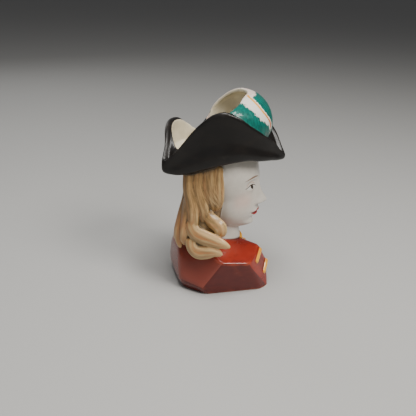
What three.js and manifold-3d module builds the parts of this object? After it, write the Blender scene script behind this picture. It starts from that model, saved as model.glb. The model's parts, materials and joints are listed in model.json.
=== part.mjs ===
// A hollow porcelain head vase: a bust in a red coat, long curled hair and a three-cornered hat with a
// feather. It is cast as one piece, so it is one solid: the outside forms are joined, and one hollow that
// follows them at the wall's thickness is cut out through the open crown of the hat.
// Millimetres, +Z up, the face looks along -Y, and +X is the figure's left.
import * as THREE from "three";
import { ConvexGeometry } from "three/addons/geometries/ConvexGeometry.js";
import { ParametricGeometry } from "three/addons/geometries/ParametricGeometry.js";
import { mergeVertices } from "three/addons/utils/BufferGeometryUtils.js";
import Module from "manifold-3d";

// Driving sizes.
const HEIGHT = 150;
const WALL = 3.6;
const FLOOR = 5;
const PORCELAIN = 0xe8e2d6;

// The forms below are drawn for a figure 150 mm tall, and SCALE carries them to HEIGHT.
const DRAWN_HEIGHT = 150;
const SCALE = HEIGHT / DRAWN_HEIGHT;
const DEGREE = Math.PI / 180;

const wasm = await Module();
wasm.setup();

// A solid from a closed mesh, whichever way its triangles were wound.
function facingOut(vertProperties, triangles) {
  const build = () => {
    const triVerts = new Uint32Array(triangles);
    return new wasm.Manifold(new wasm.Mesh({ numProp: 3, vertProperties, triVerts }));
  };
  const solid = build();
  if (solid.volume() > 0) return solid;
  triangles.reverse();
  return build();
}

// A closed surface of u (once around) and v (from one pole to the other) as a solid.
function solidOf(surface, around, along) {
  const target = new THREE.Vector3();
  const geometry = new ParametricGeometry(
    (u, v, out) => {
      surface(u % 1, v, target);
      out.copy(target);
    },
    around,
    along,
  );
  geometry.deleteAttribute("normal");
  geometry.deleteAttribute("uv");
  const merged = mergeVertices(geometry, 1e-4);
  const corners = merged.index.array;
  const kept = [];
  for (let i = 0; i < corners.length; i += 3) {
    const [a, b, c] = corners.slice(i, i + 3);
    if (a !== b && b !== c && c !== a) kept.push(a, b, c);
  }
  return facingOut(merged.attributes.position.array, kept);
}

// A solid from one of the closed three.js geometries.
function solidOfGeometry(geometry) {
  const bare = geometry.clone();
  bare.deleteAttribute("normal");
  bare.deleteAttribute("uv");
  const merged = mergeVertices(bare, 1e-4);
  return facingOut(merged.attributes.position.array, Array.from(merged.index.array));
}

const joined = (solids) => solids.reduce((sum, solid) => sum.add(solid));

// Sets out to a point given as left, forward and up at the drawn height.
const place = (out, left, forward, up) => out.set(left, -forward, up).multiplyScalar(SCALE);

// A smooth curve through rows of [angle in degrees, value, value, ...]; gives the values at an angle.
// Slopes are the harmonic means of the neighbouring ones, so the curve never overshoots a row.
function throughRows(rows) {
  const slope = (i, k) => (rows[i + 1][k] - rows[i][k]) / (rows[i + 1][0] - rows[i][0]);
  const tangent = (i, k) => {
    if (i === 0 || i === rows.length - 1) return 0;
    const before = slope(i - 1, k);
    const after = slope(i, k);
    return before * after > 0 ? (2 * before * after) / (before + after) : 0;
  };
  return (at) => {
    const t = Math.min(Math.max(at, rows[0][0]), rows[rows.length - 1][0]);
    let i = 0;
    while (i < rows.length - 2 && t > rows[i + 1][0]) i += 1;
    const span = rows[i + 1][0] - rows[i][0];
    const s = (t - rows[i][0]) / span;
    return rows[i].slice(1).map((start, k) => {
      const end = rows[i + 1][k + 1];
      const a = tangent(i, k + 1) * span;
      const b = tangent(i + 1, k + 1) * span;
      const s2 = s * s;
      const s3 = s2 * s;
      return start * (2 * s3 - 3 * s2 + 1) + a * (s3 - 2 * s2 + s) + end * (3 * s2 - 2 * s3) + b * (s3 - s2);
    });
  };
}

// An angle in degrees from the face's middle, from 0 at the front to 180 at the back on either side.
const fromFront = (degrees) => Math.abs(((degrees + 540) % 360) - 180);

// Coat: a block between planes, turned to the left of the way the head looks, with its edges rounded more
// at the back than at the front. Each row is a direction (left, forward, up) and its distance from the
// middle of the chest; a row with a sideways part is used on both sides. LEANING is on the left alone: that
// shoulder hangs lower at the front.
const COAT_TURN = 26 * DEGREE;
const CHEST = [0, 2, 18];
const FRONT_ROUND = 4;
const BACK_ROUND = 10;
const COAT_PLANES = [
  [0, 0, -1, 22],
  [0, 1, 0, 36],
  [0.804, 0.585, 0.104, 41.4],
  [0, 0.87, 0.49, 31.6],
  [0.98, 0, -0.2, 36.4],
  [0.438, 0.1, 0.893, 25.7],
  [0.66, 0.705, 0.258, 38.7],
  [0, -1, 0, 35],
  [0.75, -0.62, 0.23, 35.5],
  [0, -0.85, -0.527, 36.6],
  [0.6, -0.6, -0.53, 39],
  [0, -0.35, 0.937, 27.5],
  [0, -0.8, 0.6, 35],
  [0.45, -0.45, 0.771, 32],
  [0, 0.2, 0.98, 20],
];
const LEANING = [0.296, 0.409, 0.862, 18.2];
const mirroredPlane = ([left, ...rest]) => [-left, ...rest];
const COAT_FACES = [...COAT_PLANES, ...COAT_PLANES.filter(([left]) => left).map(mirroredPlane), LEANING];

const facingOf = (plane, direction) => direction.reduce((sum, part, k) => sum + plane[k] * part, 0);

// The distance from the chest's middle to a plane in a direction, and the plane that ends the coat there.
const reachTo = (plane, direction) => plane[3] / Math.max(facingOf(plane, direction), 1e-9);
const coatFaceAt = (direction) =>
  COAT_FACES.reduce((best, plane) => (reachTo(plane, direction) < reachTo(best, direction) ? plane : best));

// The corners where three of the coat's planes meet, with every plane moved in by a distance.
function coatCorners(inset) {
  const corners = [];
  const reach = (plane) => plane[3] - inset;
  COAT_FACES.forEach((a, i) =>
    COAT_FACES.slice(0, i).forEach((b, j) =>
      COAT_FACES.slice(0, j).forEach((c) => {
        const normals = new THREE.Matrix3().set(...a.slice(0, 3), ...b.slice(0, 3), ...c.slice(0, 3));
        if (Math.abs(normals.determinant()) < 1e-6) return;
        const corner = new THREE.Vector3(reach(a), reach(b), reach(c)).applyMatrix3(normals.invert());
        if (COAT_FACES.every((plane) => facingOf(plane, corner.toArray()) < reach(plane) + 1e-6))
          corners.push(corner.toArray());
      }),
    ),
  );
  return corners;
}

// A unit direction from u around the upright axis (0 at the front) and v from straight down to straight up.
function directionOf(u, v) {
  const turn = 2 * Math.PI * u;
  const rise = Math.PI * (v - 0.5);
  return [Math.sin(turn) * Math.cos(rise), Math.cos(turn) * Math.cos(rise), Math.sin(rise)];
}

// From the coat's own left and forward to the head's.
function turnedWithCoat([left, forward, up]) {
  const [c, s] = [Math.cos(COAT_TURN), Math.sin(COAT_TURN)];
  return [left * c + forward * s, forward * c - left * s, up];
}

// The coat as the hull of balls in its corners, small ones from the arms forward and large ones at the back,
// so that every face stays flat and every edge is round.
const ARMS = -14;
function coatSolid(inset, detail) {
  const roundAt = (round, front) => {
    const smaller = Math.max(round - inset, 1);
    const ball = mergeVertices(new THREE.IcosahedronGeometry(smaller, detail).deleteAttribute("normal"));
    const there = coatCorners(inset + smaller).filter((corner) => corner[1] > ARMS === front);
    return there.flatMap((corner) =>
      Array.from({ length: ball.attributes.position.count }, (_, i) => {
        const offset = new THREE.Vector3().fromBufferAttribute(ball.attributes.position, i).toArray();
        const point = corner.map((part, k) => CHEST[k] + part + offset[k]);
        return place(new THREE.Vector3(), ...turnedWithCoat(point));
      }),
    );
  };
  return solidOfGeometry(new ConvexGeometry([...roundAt(FRONT_ROUND, true), ...roundAt(BACK_ROUND, false)]));
}

// Cravat and braid: a knot at the throat and raised bars across the chest.
const CRAVAT = { middle: [2, 18.5, 32.8], half: [10, 5, 7.4] };
const BRAID = {
  bars: [
    { from: [-22.2, 31.6, 30.2], to: [-31.9, 25.3, 23.1] },
    { from: [-19.5, 38, 19], to: [-27.5, 33.7, 11] },
    { from: [22.2, 31.6, 30.2], to: [31.9, 25.3, 23.1] },
    { from: [10, 37, 27], to: [20, 36, 22] },
  ],
  width: 3.6,
  thick: 2.2,
  raised: 1.3,
};

// Head: the smooth greater of two egg shapes, seen from a point behind the nose.
const HEAD = [0, 5, 78];
const EGG_POWER = 14;
const EGGS = [
  { middle: [0, 5, 90], half: [26.5, 27.2, 29] },
  { middle: [0, 11, 66.5], half: [20, 20, 22.5] },
];

function eggReach(direction, inset) {
  const reaches = EGGS.map(({ middle, half }) => {
    const d = direction.map((part, k) => part / (half[k] - inset));
    const o = HEAD.map((part, k) => (part - middle[k]) / (half[k] - inset));
    const dd = d[0] ** 2 + d[1] ** 2 + d[2] ** 2;
    const od = o[0] * d[0] + o[1] * d[1] + o[2] * d[2];
    const oo = o[0] ** 2 + o[1] ** 2 + o[2] ** 2 - 1;
    return (-od + Math.sqrt(Math.max(od * od - dd * oo, 0))) / dd;
  });
  return reaches.reduce((sum, reach) => sum + reach ** EGG_POWER, 0) ** (1 / EGG_POWER);
}

const bell = (value, middle, spread) => Math.exp(-(((value - middle) / spread) ** 2));
const step = (value, from, to) => {
  const s = Math.min(Math.max((value - from) / (to - from), 0), 1);
  return s * s * (3 - 2 * s);
};

// The face, by the usual thirds between chin, nose base, brow and hairline, with the eyes at half height.
const MOUTH = { line: 59.5, half: 7.8 };
const NOSE_TIP = 69.6;
const EYE = { side: 10.5, height: 81.8 };
const BROW = 88.4;
// Rows of [height, how far the nose's ridge stands out, its half width].
const NOSE_ROWS = [
  [64.8, 0, 4.2],
  [66, 2, 4.4],
  [67.4, 6.2, 4.6],
  [NOSE_TIP, 8.6, 4.5],
  [74, 6.4, 3.9],
  [78, 4.2, 3.6],
  [82, 2.3, 3.7],
  [85, 1.2, 4.4],
  [92, 0, 6],
];
const noseAt = throughRows(NOSE_ROWS);

// How far the face stands forward of the eggs at a side distance and a height.
function faceRelief(left, up) {
  const side = Math.abs(left);
  const [ridge, ridgeHalf] = noseAt(up);
  const nose = ridge * Math.exp(-((side / ridgeHalf) ** 2.4));
  const wings = 2.6 * bell(side, 4.8, 1.8) * bell(up, NOSE_TIP - 1.8, 2.1);
  const sockets = -3 * bell(side, EYE.side - 0.5, 5.6) * bell(up, EYE.height + 2, 4.2);
  const lids = 2.7 * bell(side, EYE.side, 4.5) * bell(up, EYE.height - 0.4, 3.1);
  const brow = 1.1 * bell(side, EYE.side - 1, 8) * bell(up, BROW, 2.6);
  const cheek = 1.5 * bell(side, 14.5, 6) * bell(up, 73.5, 6.5);
  const muzzle = 2.2 * bell(side, 0, 9.5) * bell(up, MOUTH.line + 1, 6);
  const along = side / MOUTH.half;
  const full = Math.max(1 - along ** 2, 0) ** 0.7;
  const upperLip = 1.8 * full * bell(up, MOUTH.line + 1.9 - 0.9 * along ** 2, 1.3);
  const lowerLip = 1.9 * full * bell(up, MOUTH.line - 2 + 0.9 * along ** 2, 1.5);
  const parting = -1.2 * bell(side, 0, MOUTH.half) * bell(up, MOUTH.line, 0.7);
  const underLip = -0.8 * bell(side, 0, 6.5) * bell(up, 54.4, 1.8);
  const chin = 7 * bell(side, 0, 9) * bell(up, 47.8, 4.6);
  const lips = upperLip + lowerLip + parting + underLip;
  return nose + wings + sockets + lids + brow + cheek + muzzle + lips + chin;
}

// Closer steps round the face and between chin and brow than where hair and hat cover the head.
const FACE_CROWDING = 0.7;
const risesAt = throughRows([
  [0, -90],
  [0.1, -60],
  [0.85, 26],
  [1, 90],
]);
function headSurface(u, v, out) {
  const crowded = u - (FACE_CROWDING * Math.sin(2 * Math.PI * u)) / (2 * Math.PI);
  const direction = directionOf(crowded, 0.5 + risesAt(v)[0] / 180);
  const reach = eggReach(direction, 0);
  const point = direction.map((part, k) => HEAD[k] + part * reach);
  const front = step(direction[1], 0.25, 0.6);
  place(out, point[0], point[1] + front * faceRelief(point[0], point[2]), point[2]);
}

// A round-ended upright column between two heights, given by its rows of [height, forward, half width,
// half depth].
function columnSurface(rows, inset) {
  const shape = throughRows(rows);
  const low = rows[0][0];
  const high = rows[rows.length - 1][0];
  return (u, v, out) => {
    const turn = 2 * Math.PI * u;
    const along = Math.min(Math.max(v * 1.2 - 0.1, 0), 1);
    const end = v < 0.1 ? v / 0.1 : v > 0.9 ? (1 - v) / 0.1 : 1;
    const up = low + (high - low) * along;
    const [forward, wide, deep] = shape(up);
    place(out, (wide - inset) * end * Math.sin(turn), forward + (deep - inset) * end * Math.cos(turn), up);
  };
}

const NECK = [
  [20, 4.5, 14.5, 14.5],
  [34, 4.5, 15.5, 15.5],
  [44, 5, 14, 14.5],
  [60, 6, 14, 14],
];
// Inside, the hollow runs on up through the head, so that neck and head open into each other.
const THROAT = [
  [FLOOR + 8, 4, 14, 14],
  [44, 5, 14, 14.5],
  [74, 6, 14, 14],
];

// Hair: a mass round the back and sides of the head and neck, and locks over it that hang from the hat.
const HAIR_MASS = [
  [22, -11, 27, 14],
  [36, -11, 28.5, 14],
  [46, -8, 29.5, 14.5],
  [60, -5, 28.5, 16.5],
  [80, -3, 28.5, 19],
  [108, -3, 28, 20],
];

// Under the curls at each side, a bed that joins them to the neck and shoulder.
const CURL_BED = { middle: [27, -3, 50], half: [8, 10, 16] };

function curlBedSurface(side) {
  const { middle, half } = CURL_BED;
  return (u, v, out) => {
    const [left, forward, up] = directionOf(u, v).map((part, k) => middle[k] + half[k] * part);
    place(out, side * left, forward, up);
  };
}

// Each lock: points (left, forward, up) from the hat to its tip, half width, half depth and how blunt it
// ends.
const LOCKS = [
  {
    path: [[26, 3, 103], [28.5, 5.5, 90], [29, 5.5, 79], [28, 2, 70], [27.5, 3.5, 64.5]],
    wide: 6.2, deep: 3, blunt: 0.4,
  },
  {
    path: [[29, -4, 101], [31, -4, 84], [32, -3, 69], [33, 3, 58.5], [31, 10, 55.5], [28, 11.5, 58]],
    wide: 6, deep: 4.6, blunt: 0.8,
  },
  {
    path: [[29, -9, 101], [31, -9, 80], [33, -8, 62], [35, -2, 50], [37, 8, 46.5], [38, 18.5, 42.8]],
    wide: 6, deep: 4.2, blunt: 0.15,
  },
  {
    path: [[28, -13, 99], [30, -13, 76], [33, -12, 58], [36, -8, 45], [38, 2, 40.5], [39, 12.5, 37]],
    wide: 5.8, deep: 4, blunt: 0.15,
  },
  {
    path: [[27, 1, 76], [30.5, 5, 65], [31.5, 9.5, 55], [32.5, 13, 47.5], [32.5, 16.5, 43]],
    wide: 4.6, deep: 3.6, blunt: 0.2,
  },
  {
    path: [[31, -12, 60], [34, -10, 48], [37, -7, 39.5], [39, -1, 35.5], [39, 5, 37.5], [38, 7, 41]],
    wide: 5.4, deep: 4.2, blunt: 0.7,
  },
  {
    path: [[24, -16, 98], [25, -15.5, 76], [27, -16, 58], [30, -19, 46], [31, -17, 37]],
    wide: 5.4, deep: 3.8, blunt: 0.3,
  },
  {
    path: [[16, -18.5, 97], [16, -18, 74], [18, -20, 56], [18, -25, 44], [20, -28, 36]],
    wide: 5.6, deep: 3.8, blunt: 0.3,
  },
  {
    path: [[7, -20, 97], [7, -20, 72], [8, -21.5, 54], [6, -26.5, 44], [8, -30.5, 36]],
    wide: 5.6, deep: 3.8, blunt: 0.25,
  },
];
const MIDDLE_LOCK = {
  path: [[0, -20.5, 96], [0.5, -20.5, 70], [-1, -21.5, 56], [0.5, -27, 44], [-1, -31, 37]],
  wide: 5, deep: 3.6, blunt: 0.3,
};

function lockSurface({ path, wide, deep, blunt }, side) {
  const points = path.map(([left, forward, up]) => new THREE.Vector3(side * left, forward, up));
  const curve = new THREE.CatmullRomCurve3(points);
  const tangent = new THREE.Vector3();
  const centre = new THREE.Vector3();
  const outward = new THREE.Vector3();
  const across = new THREE.Vector3();
  return (u, v, out) => {
    curve.getPoint(v, centre);
    curve.getTangent(v, tangent);
    outward.set(centre.x, centre.y, 0).normalize();
    across.crossVectors(tangent, outward).normalize();
    outward.crossVectors(across, tangent).normalize();
    const start = Math.sqrt(Math.min(v / 0.08, 1));
    const swell = 0.78 + 0.22 * Math.sin(Math.PI * (0.15 + 0.8 * v));
    const tip = Math.sqrt(Math.max(1 - Math.max((v - 0.55) / 0.45, 0) ** (1.4 + 3 * blunt), 0));
    const size = start * swell * tip;
    const turn = 2 * Math.PI * u * side;
    centre.addScaledVector(across, wide * size * Math.cos(turn));
    centre.addScaledVector(outward, deep * size * Math.sin(turn));
    place(out, centre.x, centre.y, centre.z);
  };
}

// Hat: rows of [degrees from the front, plan radius, height of the turned-up edge, height of the fold
// below it].
const HAT_ROWS = [
  [0, 48.4, 107.8, 101.8],
  [5, 47.4, 110.6, 102.4],
  [15, 44.3, 118.5, 104],
  [31, 40.8, 126, 105.5],
  [45, 38.5, 132.5, 107],
  [58, 37.4, 138.5, 106.5],
  [74, 36.4, 142, 104.5],
  [86, 35.8, 140, 102],
  [98, 36.3, 134.5, 99.5],
  [107, 38, 128.5, 97.3],
  [115, 41, 120.5, 95.6],
  [122, 46, 111.5, 95],
  [128.5, 49.4, 106, 95.2],
  [133, 47.4, 110, 95.6],
  [138, 44.4, 115.5, 96],
  [145, 42, 119.5, 96.2],
  [152, 40.6, 122.5, 96.4],
  [160, 39.4, 124.5, 96.8],
  [170, 38.6, 125.5, 97],
  [180, 38.4, 125.8, 97],
];
const hatAt = throughRows(HAT_ROWS);
const EDGE = 3.4;
// The hat's columns in degrees from the front, closer together round its three points.
const HAT_COLUMNS = [
  0, 3.5, 8, 15, 25, 36, 48, 61, 74, 86, 97, 107, 115, 121, 125.5, 129, 133, 138, 145, 156, 168, 180,
  192, 204, 215, 222, 227, 231, 234.5, 239, 245, 253, 263, 274, 286, 299, 312, 324, 335, 345, 352, 356.5,
];
// Inside the turned-up edge the hat is filled up to a crown, higher at the front, where the feather stands.
// The cap's rows are shares of the way in to the middle.
const CROWN = { front: 136, rear: 124 };
const CAP_ROWS = [0.12, 0.32, 1];
// The hat's side from the fold's underside to the inner lip of its edge: share of the fold-to-edge height,
// how far outside the plan radius, and how much further out at the hat's three blunt points.
const BRIM_PROFILE = [
  [-0.02, -9, 0],
  [-0.045, -5, 0],
  [-0.03, -1.8, -1.2],
  [0.03, 0.2, -0.8],
  [0.16, 1, 0.6],
  [0.45, 0, 2.6],
  [0.75, 0.3, 2.2],
  [0.93, 0.8, 0.6],
  [0.985, 0.2, -0.4],
  [1, -1.2, -0.6],
  [0.995, -2.6, 0],
  [0.96, -EDGE, 0],
];
const REAR_POINT = 129;
const HAT_STEPS = BRIM_PROFILE.length + CAP_ROWS.length + 1;

function hatSurface(u, v, out) {
  const degrees = HAT_COLUMNS[Math.round(u * HAT_COLUMNS.length) % HAT_COLUMNS.length];
  const [radius, edge, fold] = hatAt(fromFront(degrees));
  const index = Math.round(v * HAT_STEPS) - 2;
  let distance;
  let up;
  if (index < 0) {
    distance = index === -2 ? 0 : 20;
    up = 104;
  } else if (index < BRIM_PROFILE.length) {
    const [share, outside, blunt] = BRIM_PROFILE[index];
    const atPoint = bell(fromFront(degrees), 0, 7) + bell(fromFront(degrees), REAR_POINT, 6);
    distance = radius + outside + blunt * atPoint;
    up = fold + (edge - fold) * share;
  } else {
    const inward = CAP_ROWS[index - BRIM_PROFILE.length];
    distance = (radius - EDGE) * (1 - inward);
    const crown = CROWN.front + (CROWN.rear - CROWN.front) * step(fromFront(degrees), 30, 90);
    up = edge * 0.96 + fold * 0.04 + (crown - edge) * Math.sqrt(inward);
  }
  place(out, distance * Math.sin(degrees * DEGREE), distance * Math.cos(degrees * DEGREE), up);
}

// Feather: it arches over the hat's left and front. Rows of [degrees from the front, positive to the left,
// lip radius, top height, outer radius, height of the outer edge].
const FEATHER_ROWS = [
  [-72, 34.4, 141.4, 35, 141],
  [-60, 30, 143.6, 36.8, 138.5],
  [-45, 24.5, 146, 38.4, 132.5],
  [-30, 21, 148, 39.9, 127.6],
  [-10, 19.5, 149.3, 40.3, 127.6],
  [10, 19.5, 149.8, 39.2, 129],
  [30, 20, 150, 37.8, 131.5],
  [50, 20.5, 149.8, 36.4, 134.5],
  [70, 22.5, 148, 35.8, 137],
  [86, 25.6, 144.5, 36, 137],
  [100, 30, 138.5, 36.4, 131.5],
  [110, 33, 131.5, 36.8, 126],
  [118, 35.4, 123, 37, 121],
];
const featherAt = throughRows(FEATHER_ROWS);
const FEATHER_START = FEATHER_ROWS[0][0];
const FEATHER_END = FEATHER_ROWS[FEATHER_ROWS.length - 1][0];
const FEATHER_TOP = Math.max(...FEATHER_ROWS.map(([, , top]) => top));
const UNDER_FEATHER = 17;

function featherSurface(u, v, out) {
  const degrees = FEATHER_START + (FEATHER_END - FEATHER_START) * v;
  const [lip, top, outer, low] = featherAt(degrees);
  const turn = 2 * Math.PI * u;
  const closing = Math.sqrt(Math.max(Math.min(v / 0.05, (1 - v) / 0.05, 1), 0));
  const rise = Math.sin(turn) > 0 ? top - low : UNDER_FEATHER;
  const distance = lip + (outer - lip) * Math.cos(turn) * (Math.cos(turn) > 0 ? 1 : 0.4) * closing;
  const up = low + rise * Math.sin(turn) * closing;
  place(out, distance * Math.sin(degrees * DEGREE), distance * Math.cos(degrees * DEGREE), up);
}

// The hollow of the hat: for each angle a floor, a side wall, the feather's underside and the lip above it.
// Every angle's floor starts from one point, HOLLOW_MIDDLE up.
const HOLLOW_MIDDLE = 106;
const HOLLOW_ROUND = 38.5;
const ABOVE = 8;
const HAT_HOLLOW_STEPS = 14;

function hatHollowSurface(u, v, out) {
  const degrees = 360 * u;
  const signed = ((degrees + 180) % 360) - 180;
  const wall = WALL / SCALE;
  const [radius, edge, fold] = hatAt(fromFront(degrees));
  const side = ((radius - wall) ** -12 + HOLLOW_ROUND ** -12) ** (-1 / 12);
  const floor = fold + wall + 1.5;
  const covered = signed > FEATHER_START && signed < FEATHER_END;
  const [lip, top, outer, low] = covered ? featherAt(signed) : [side, edge, side, edge];
  const reach = Math.min(side, outer - wall);
  const mouth = Math.min(lip, reach);
  const spring = Math.max(Math.min(low, top - wall - 1), floor + 6);
  const row = Math.round(v * HAT_HOLLOW_STEPS);
  let distance;
  let up;
  if (row === 0) {
    distance = 0;
    up = HOLLOW_MIDDLE;
  } else if (row <= 4) {
    const turn = (row / 4) * (Math.PI / 2);
    distance = reach * (0.45 + 0.55 * Math.sin(turn));
    up = floor + 5 * (1 - Math.cos(turn));
  } else if (row === 5) {
    distance = reach;
    up = (floor + 5 + spring) / 2;
  } else if (row <= 11) {
    const turn = ((row - 6) / 5) * (Math.PI / 2);
    distance = mouth + (reach - mouth) * Math.cos(turn);
    up = spring + Math.max(top - wall * 0.8 - spring, 0.5) * Math.sin(turn);
  } else {
    distance = row === HAT_HOLLOW_STEPS ? 0 : mouth + (row - 11) * 0.3;
    up = row === 12 ? top + 0.5 : FEATHER_TOP + ABOVE;
  }
  place(out, distance * Math.sin(degrees * DEGREE), distance * Math.cos(degrees * DEGREE), up);
}

// The hollow of the head: the same egg, a wall and the depth of the eye sockets further in.
const SOCKET_DEPTH = 2.4;
function headHollowSurface(u, v, out) {
  const direction = directionOf(u, v);
  const reach = eggReach(direction, WALL / SCALE + SOCKET_DEPTH);
  place(out, ...direction.map((part, k) => HEAD[k] + part * reach));
}

// A raised bar of braid on the coat face that it lies on, from one point to another.
function braidBar({ from, to }) {
  const rays = [from, to].map((point) => point.map((part, k) => part - CHEST[k]));
  const face = coatFaceAt(rays[0].map((part, k) => part + rays[1][k]));
  const [start, end] = rays.map(
    (ray) => new THREE.Vector3(...ray.map((part, k) => CHEST[k] + part * reachTo(face, ray))),
  );
  const along = end.clone().sub(start);
  const length = along.length();
  along.normalize();
  const across = new THREE.Vector3(...face.slice(0, 3)).cross(along).normalize();
  const outward = new THREE.Vector3().crossVectors(along, across);
  const bar = new THREE.BoxGeometry(BRAID.width, BRAID.thick, length);
  const middle = start.add(end).multiplyScalar(0.5).addScaledVector(outward, BRAID.raised - BRAID.thick / 2);
  bar.applyMatrix4(new THREE.Matrix4().makeBasis(across, outward, along).setPosition(middle));
  const corner = bar.attributes.position;
  for (let i = 0; i < corner.count; i += 1) {
    const [left, forward, up] = turnedWithCoat([corner.getX(i), corner.getY(i), corner.getZ(i)]);
    corner.setXYZ(i, left * SCALE, -forward * SCALE, up * SCALE);
  }
  return solidOfGeometry(bar);
}

// The cravat's bow: an egg drawn in at its middle, between the neck and the coat's opening.
function cravatSurface(u, v, out) {
  const [left, forward, up] = directionOf(u, v);
  const flare = 0.65 + 0.6 * left ** 2;
  const offset = [left, forward * flare, up * flare];
  place(out, ...turnedWithCoat(offset.map((part, k) => CRAVAT.middle[k] + CRAVAT.half[k] * part)));
}

function outsideOfVase() {
  const locks = LOCKS.flatMap((lock) => [1, -1].map((side) => solidOf(lockSurface(lock, side), 6, 8)));
  return joined([
    coatSolid(0, 2),
    solidOf(cravatSurface, 16, 8),
    ...BRAID.bars.map(braidBar),
    solidOf(columnSurface(NECK, 0), 20, 6),
    solidOf(headSurface, 26, 32),
    solidOf(columnSurface(HAIR_MASS, 0), 20, 8),
    ...[1, -1].map((side) => solidOf(curlBedSurface(side), 12, 8)),
    ...locks,
    solidOf(lockSurface(MIDDLE_LOCK, 1), 6, 8),
    solidOf(hatSurface, HAT_COLUMNS.length, HAT_STEPS),
    solidOf(featherSurface, 12, 24),
  ]);
}

function hollowOfVase() {
  const room = new THREE.BoxGeometry(4 * HEIGHT, 4 * HEIGHT, HEIGHT).translate(0, 0, FLOOR + HEIGHT / 2);
  const bust = coatSolid(WALL / SCALE, 1).intersect(solidOfGeometry(room));
  return joined([
    bust,
    solidOf(columnSurface(THROAT, WALL / SCALE), 12, 5),
    solidOf(columnSurface(HAIR_MASS, WALL / SCALE), 16, 7),
    solidOf(headHollowSurface, 16, 10),
    solidOf(hatHollowSurface, 32, HAT_HOLLOW_STEPS),
  ]);
}

// A box below the table level trims the foot flat.
function flatFoot() {
  return solidOfGeometry(new THREE.BoxGeometry(4 * HEIGHT, 4 * HEIGHT, HEIGHT).translate(0, 0, -HEIGHT / 2));
}

// Seams leave needle triangles where two forms cross; corners nearer to each other than this become one.
const WELD = 0.02;

function welded(mesh) {
  const corner = (i) =>
    new THREE.Vector3().fromArray(mesh.vertProperties.subarray(i * mesh.numProp, i * mesh.numProp + 3));
  const same = Array.from({ length: mesh.numVert }, (_, i) => i);
  const kept = (i) => {
    let at = i;
    while (same[at] !== at) at = same[at];
    return at;
  };
  const { triVerts } = mesh;
  for (let i = 0; i < triVerts.length; i += 1) {
    const a = kept(triVerts[i]);
    const b = kept(triVerts[i % 3 === 2 ? i - 2 : i + 1]);
    if (a !== b && corner(a).distanceTo(corner(b)) < WELD) same[Math.max(a, b)] = Math.min(a, b);
  }
  const points = [];
  const number = new Map();
  const index = [];
  for (let i = 0; i < triVerts.length; i += 3) {
    const triangle = [0, 1, 2].map((k) => kept(triVerts[i + k]));
    if (new Set(triangle).size < 3) continue;
    for (const at of triangle) {
      if (!number.has(at)) {
        number.set(at, number.size);
        points.push(corner(at));
      }
      index.push(number.get(at));
    }
  }
  return new THREE.BufferGeometry().setFromPoints(points).setIndex(index);
}

function vaseGeometry() {
  const vase = outsideOfVase().subtract(hollowOfVase()).subtract(flatFoot());
  const geometry = welded(vase.getMesh());
  // The origin is under the middle of the whole vase.
  geometry.computeBoundingBox();
  const { min, max } = geometry.boundingBox;
  geometry.translate(-(min.x + max.x) / 2, -(min.y + max.y) / 2, 0);
  return geometry;
}

const glaze = new THREE.MeshStandardMaterial({ color: PORCELAIN, roughness: 0.2, metalness: 0 });
const vase = new THREE.Mesh(vaseGeometry(), glaze);
vase.name = "head_vase";

const group = new THREE.Group();
group.add(vase);
export default group;
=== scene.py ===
"""A painted, glazed porcelain head vase: one hollow casting, hand painted, on a pale studio floor."""

import json

import bpy
import numpy as np
from mathutils import Matrix, Vector

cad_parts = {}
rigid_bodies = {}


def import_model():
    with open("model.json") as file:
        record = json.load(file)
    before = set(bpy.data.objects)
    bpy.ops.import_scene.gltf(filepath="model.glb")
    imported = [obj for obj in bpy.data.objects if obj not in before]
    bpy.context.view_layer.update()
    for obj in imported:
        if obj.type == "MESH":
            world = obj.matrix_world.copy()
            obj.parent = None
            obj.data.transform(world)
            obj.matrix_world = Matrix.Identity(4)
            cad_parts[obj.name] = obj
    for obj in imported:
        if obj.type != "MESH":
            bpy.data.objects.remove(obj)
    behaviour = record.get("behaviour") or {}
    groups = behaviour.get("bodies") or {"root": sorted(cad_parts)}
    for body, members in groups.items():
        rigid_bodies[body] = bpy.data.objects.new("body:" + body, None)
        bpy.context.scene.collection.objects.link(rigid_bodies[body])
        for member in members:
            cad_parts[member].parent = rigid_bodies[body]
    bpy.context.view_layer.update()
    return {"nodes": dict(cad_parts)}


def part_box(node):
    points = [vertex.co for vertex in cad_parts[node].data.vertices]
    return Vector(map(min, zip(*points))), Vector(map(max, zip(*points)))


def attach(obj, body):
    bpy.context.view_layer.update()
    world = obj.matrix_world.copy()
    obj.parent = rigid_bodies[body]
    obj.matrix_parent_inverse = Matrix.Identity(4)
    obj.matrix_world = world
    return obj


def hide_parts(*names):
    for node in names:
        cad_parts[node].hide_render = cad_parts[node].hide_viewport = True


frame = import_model()

bl_info = {
    "name": "Painted Head Vase",
    "version": (1, 0, 0),
    "blender": (4, 5, 0),
    "location": "3D View > Sidebar > Head Vase",
    "description": "Builds a hollow porcelain head vase with a feathered three-cornered hat",
    "category": "Add Mesh",
}

NODE = "head_vase"
MM = 0.001
DRAWN_TOP = 149.95
FRONT_TIP = 51.0
FLOOR_THICKNESS = 5.0


def drawn_origin():
    """Where the drawing's origin lies in the frame: the hat's foremost point is on its middle plane."""
    mesh = frame["nodes"][NODE].data
    corners = np.empty(len(mesh.vertices) * 3)
    mesh.vertices.foreach_get("co", corners)
    tip = corners.reshape(-1, 3)[corners[1::3].argmin()]
    return tip[0], tip[1] + FRONT_TIP * SCALE


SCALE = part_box(NODE)[1][2] / DRAWN_TOP
ORIGIN_X, ORIGIN_Y = drawn_origin()


# Shapes, drawn in mm as left, forward and up.


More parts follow.
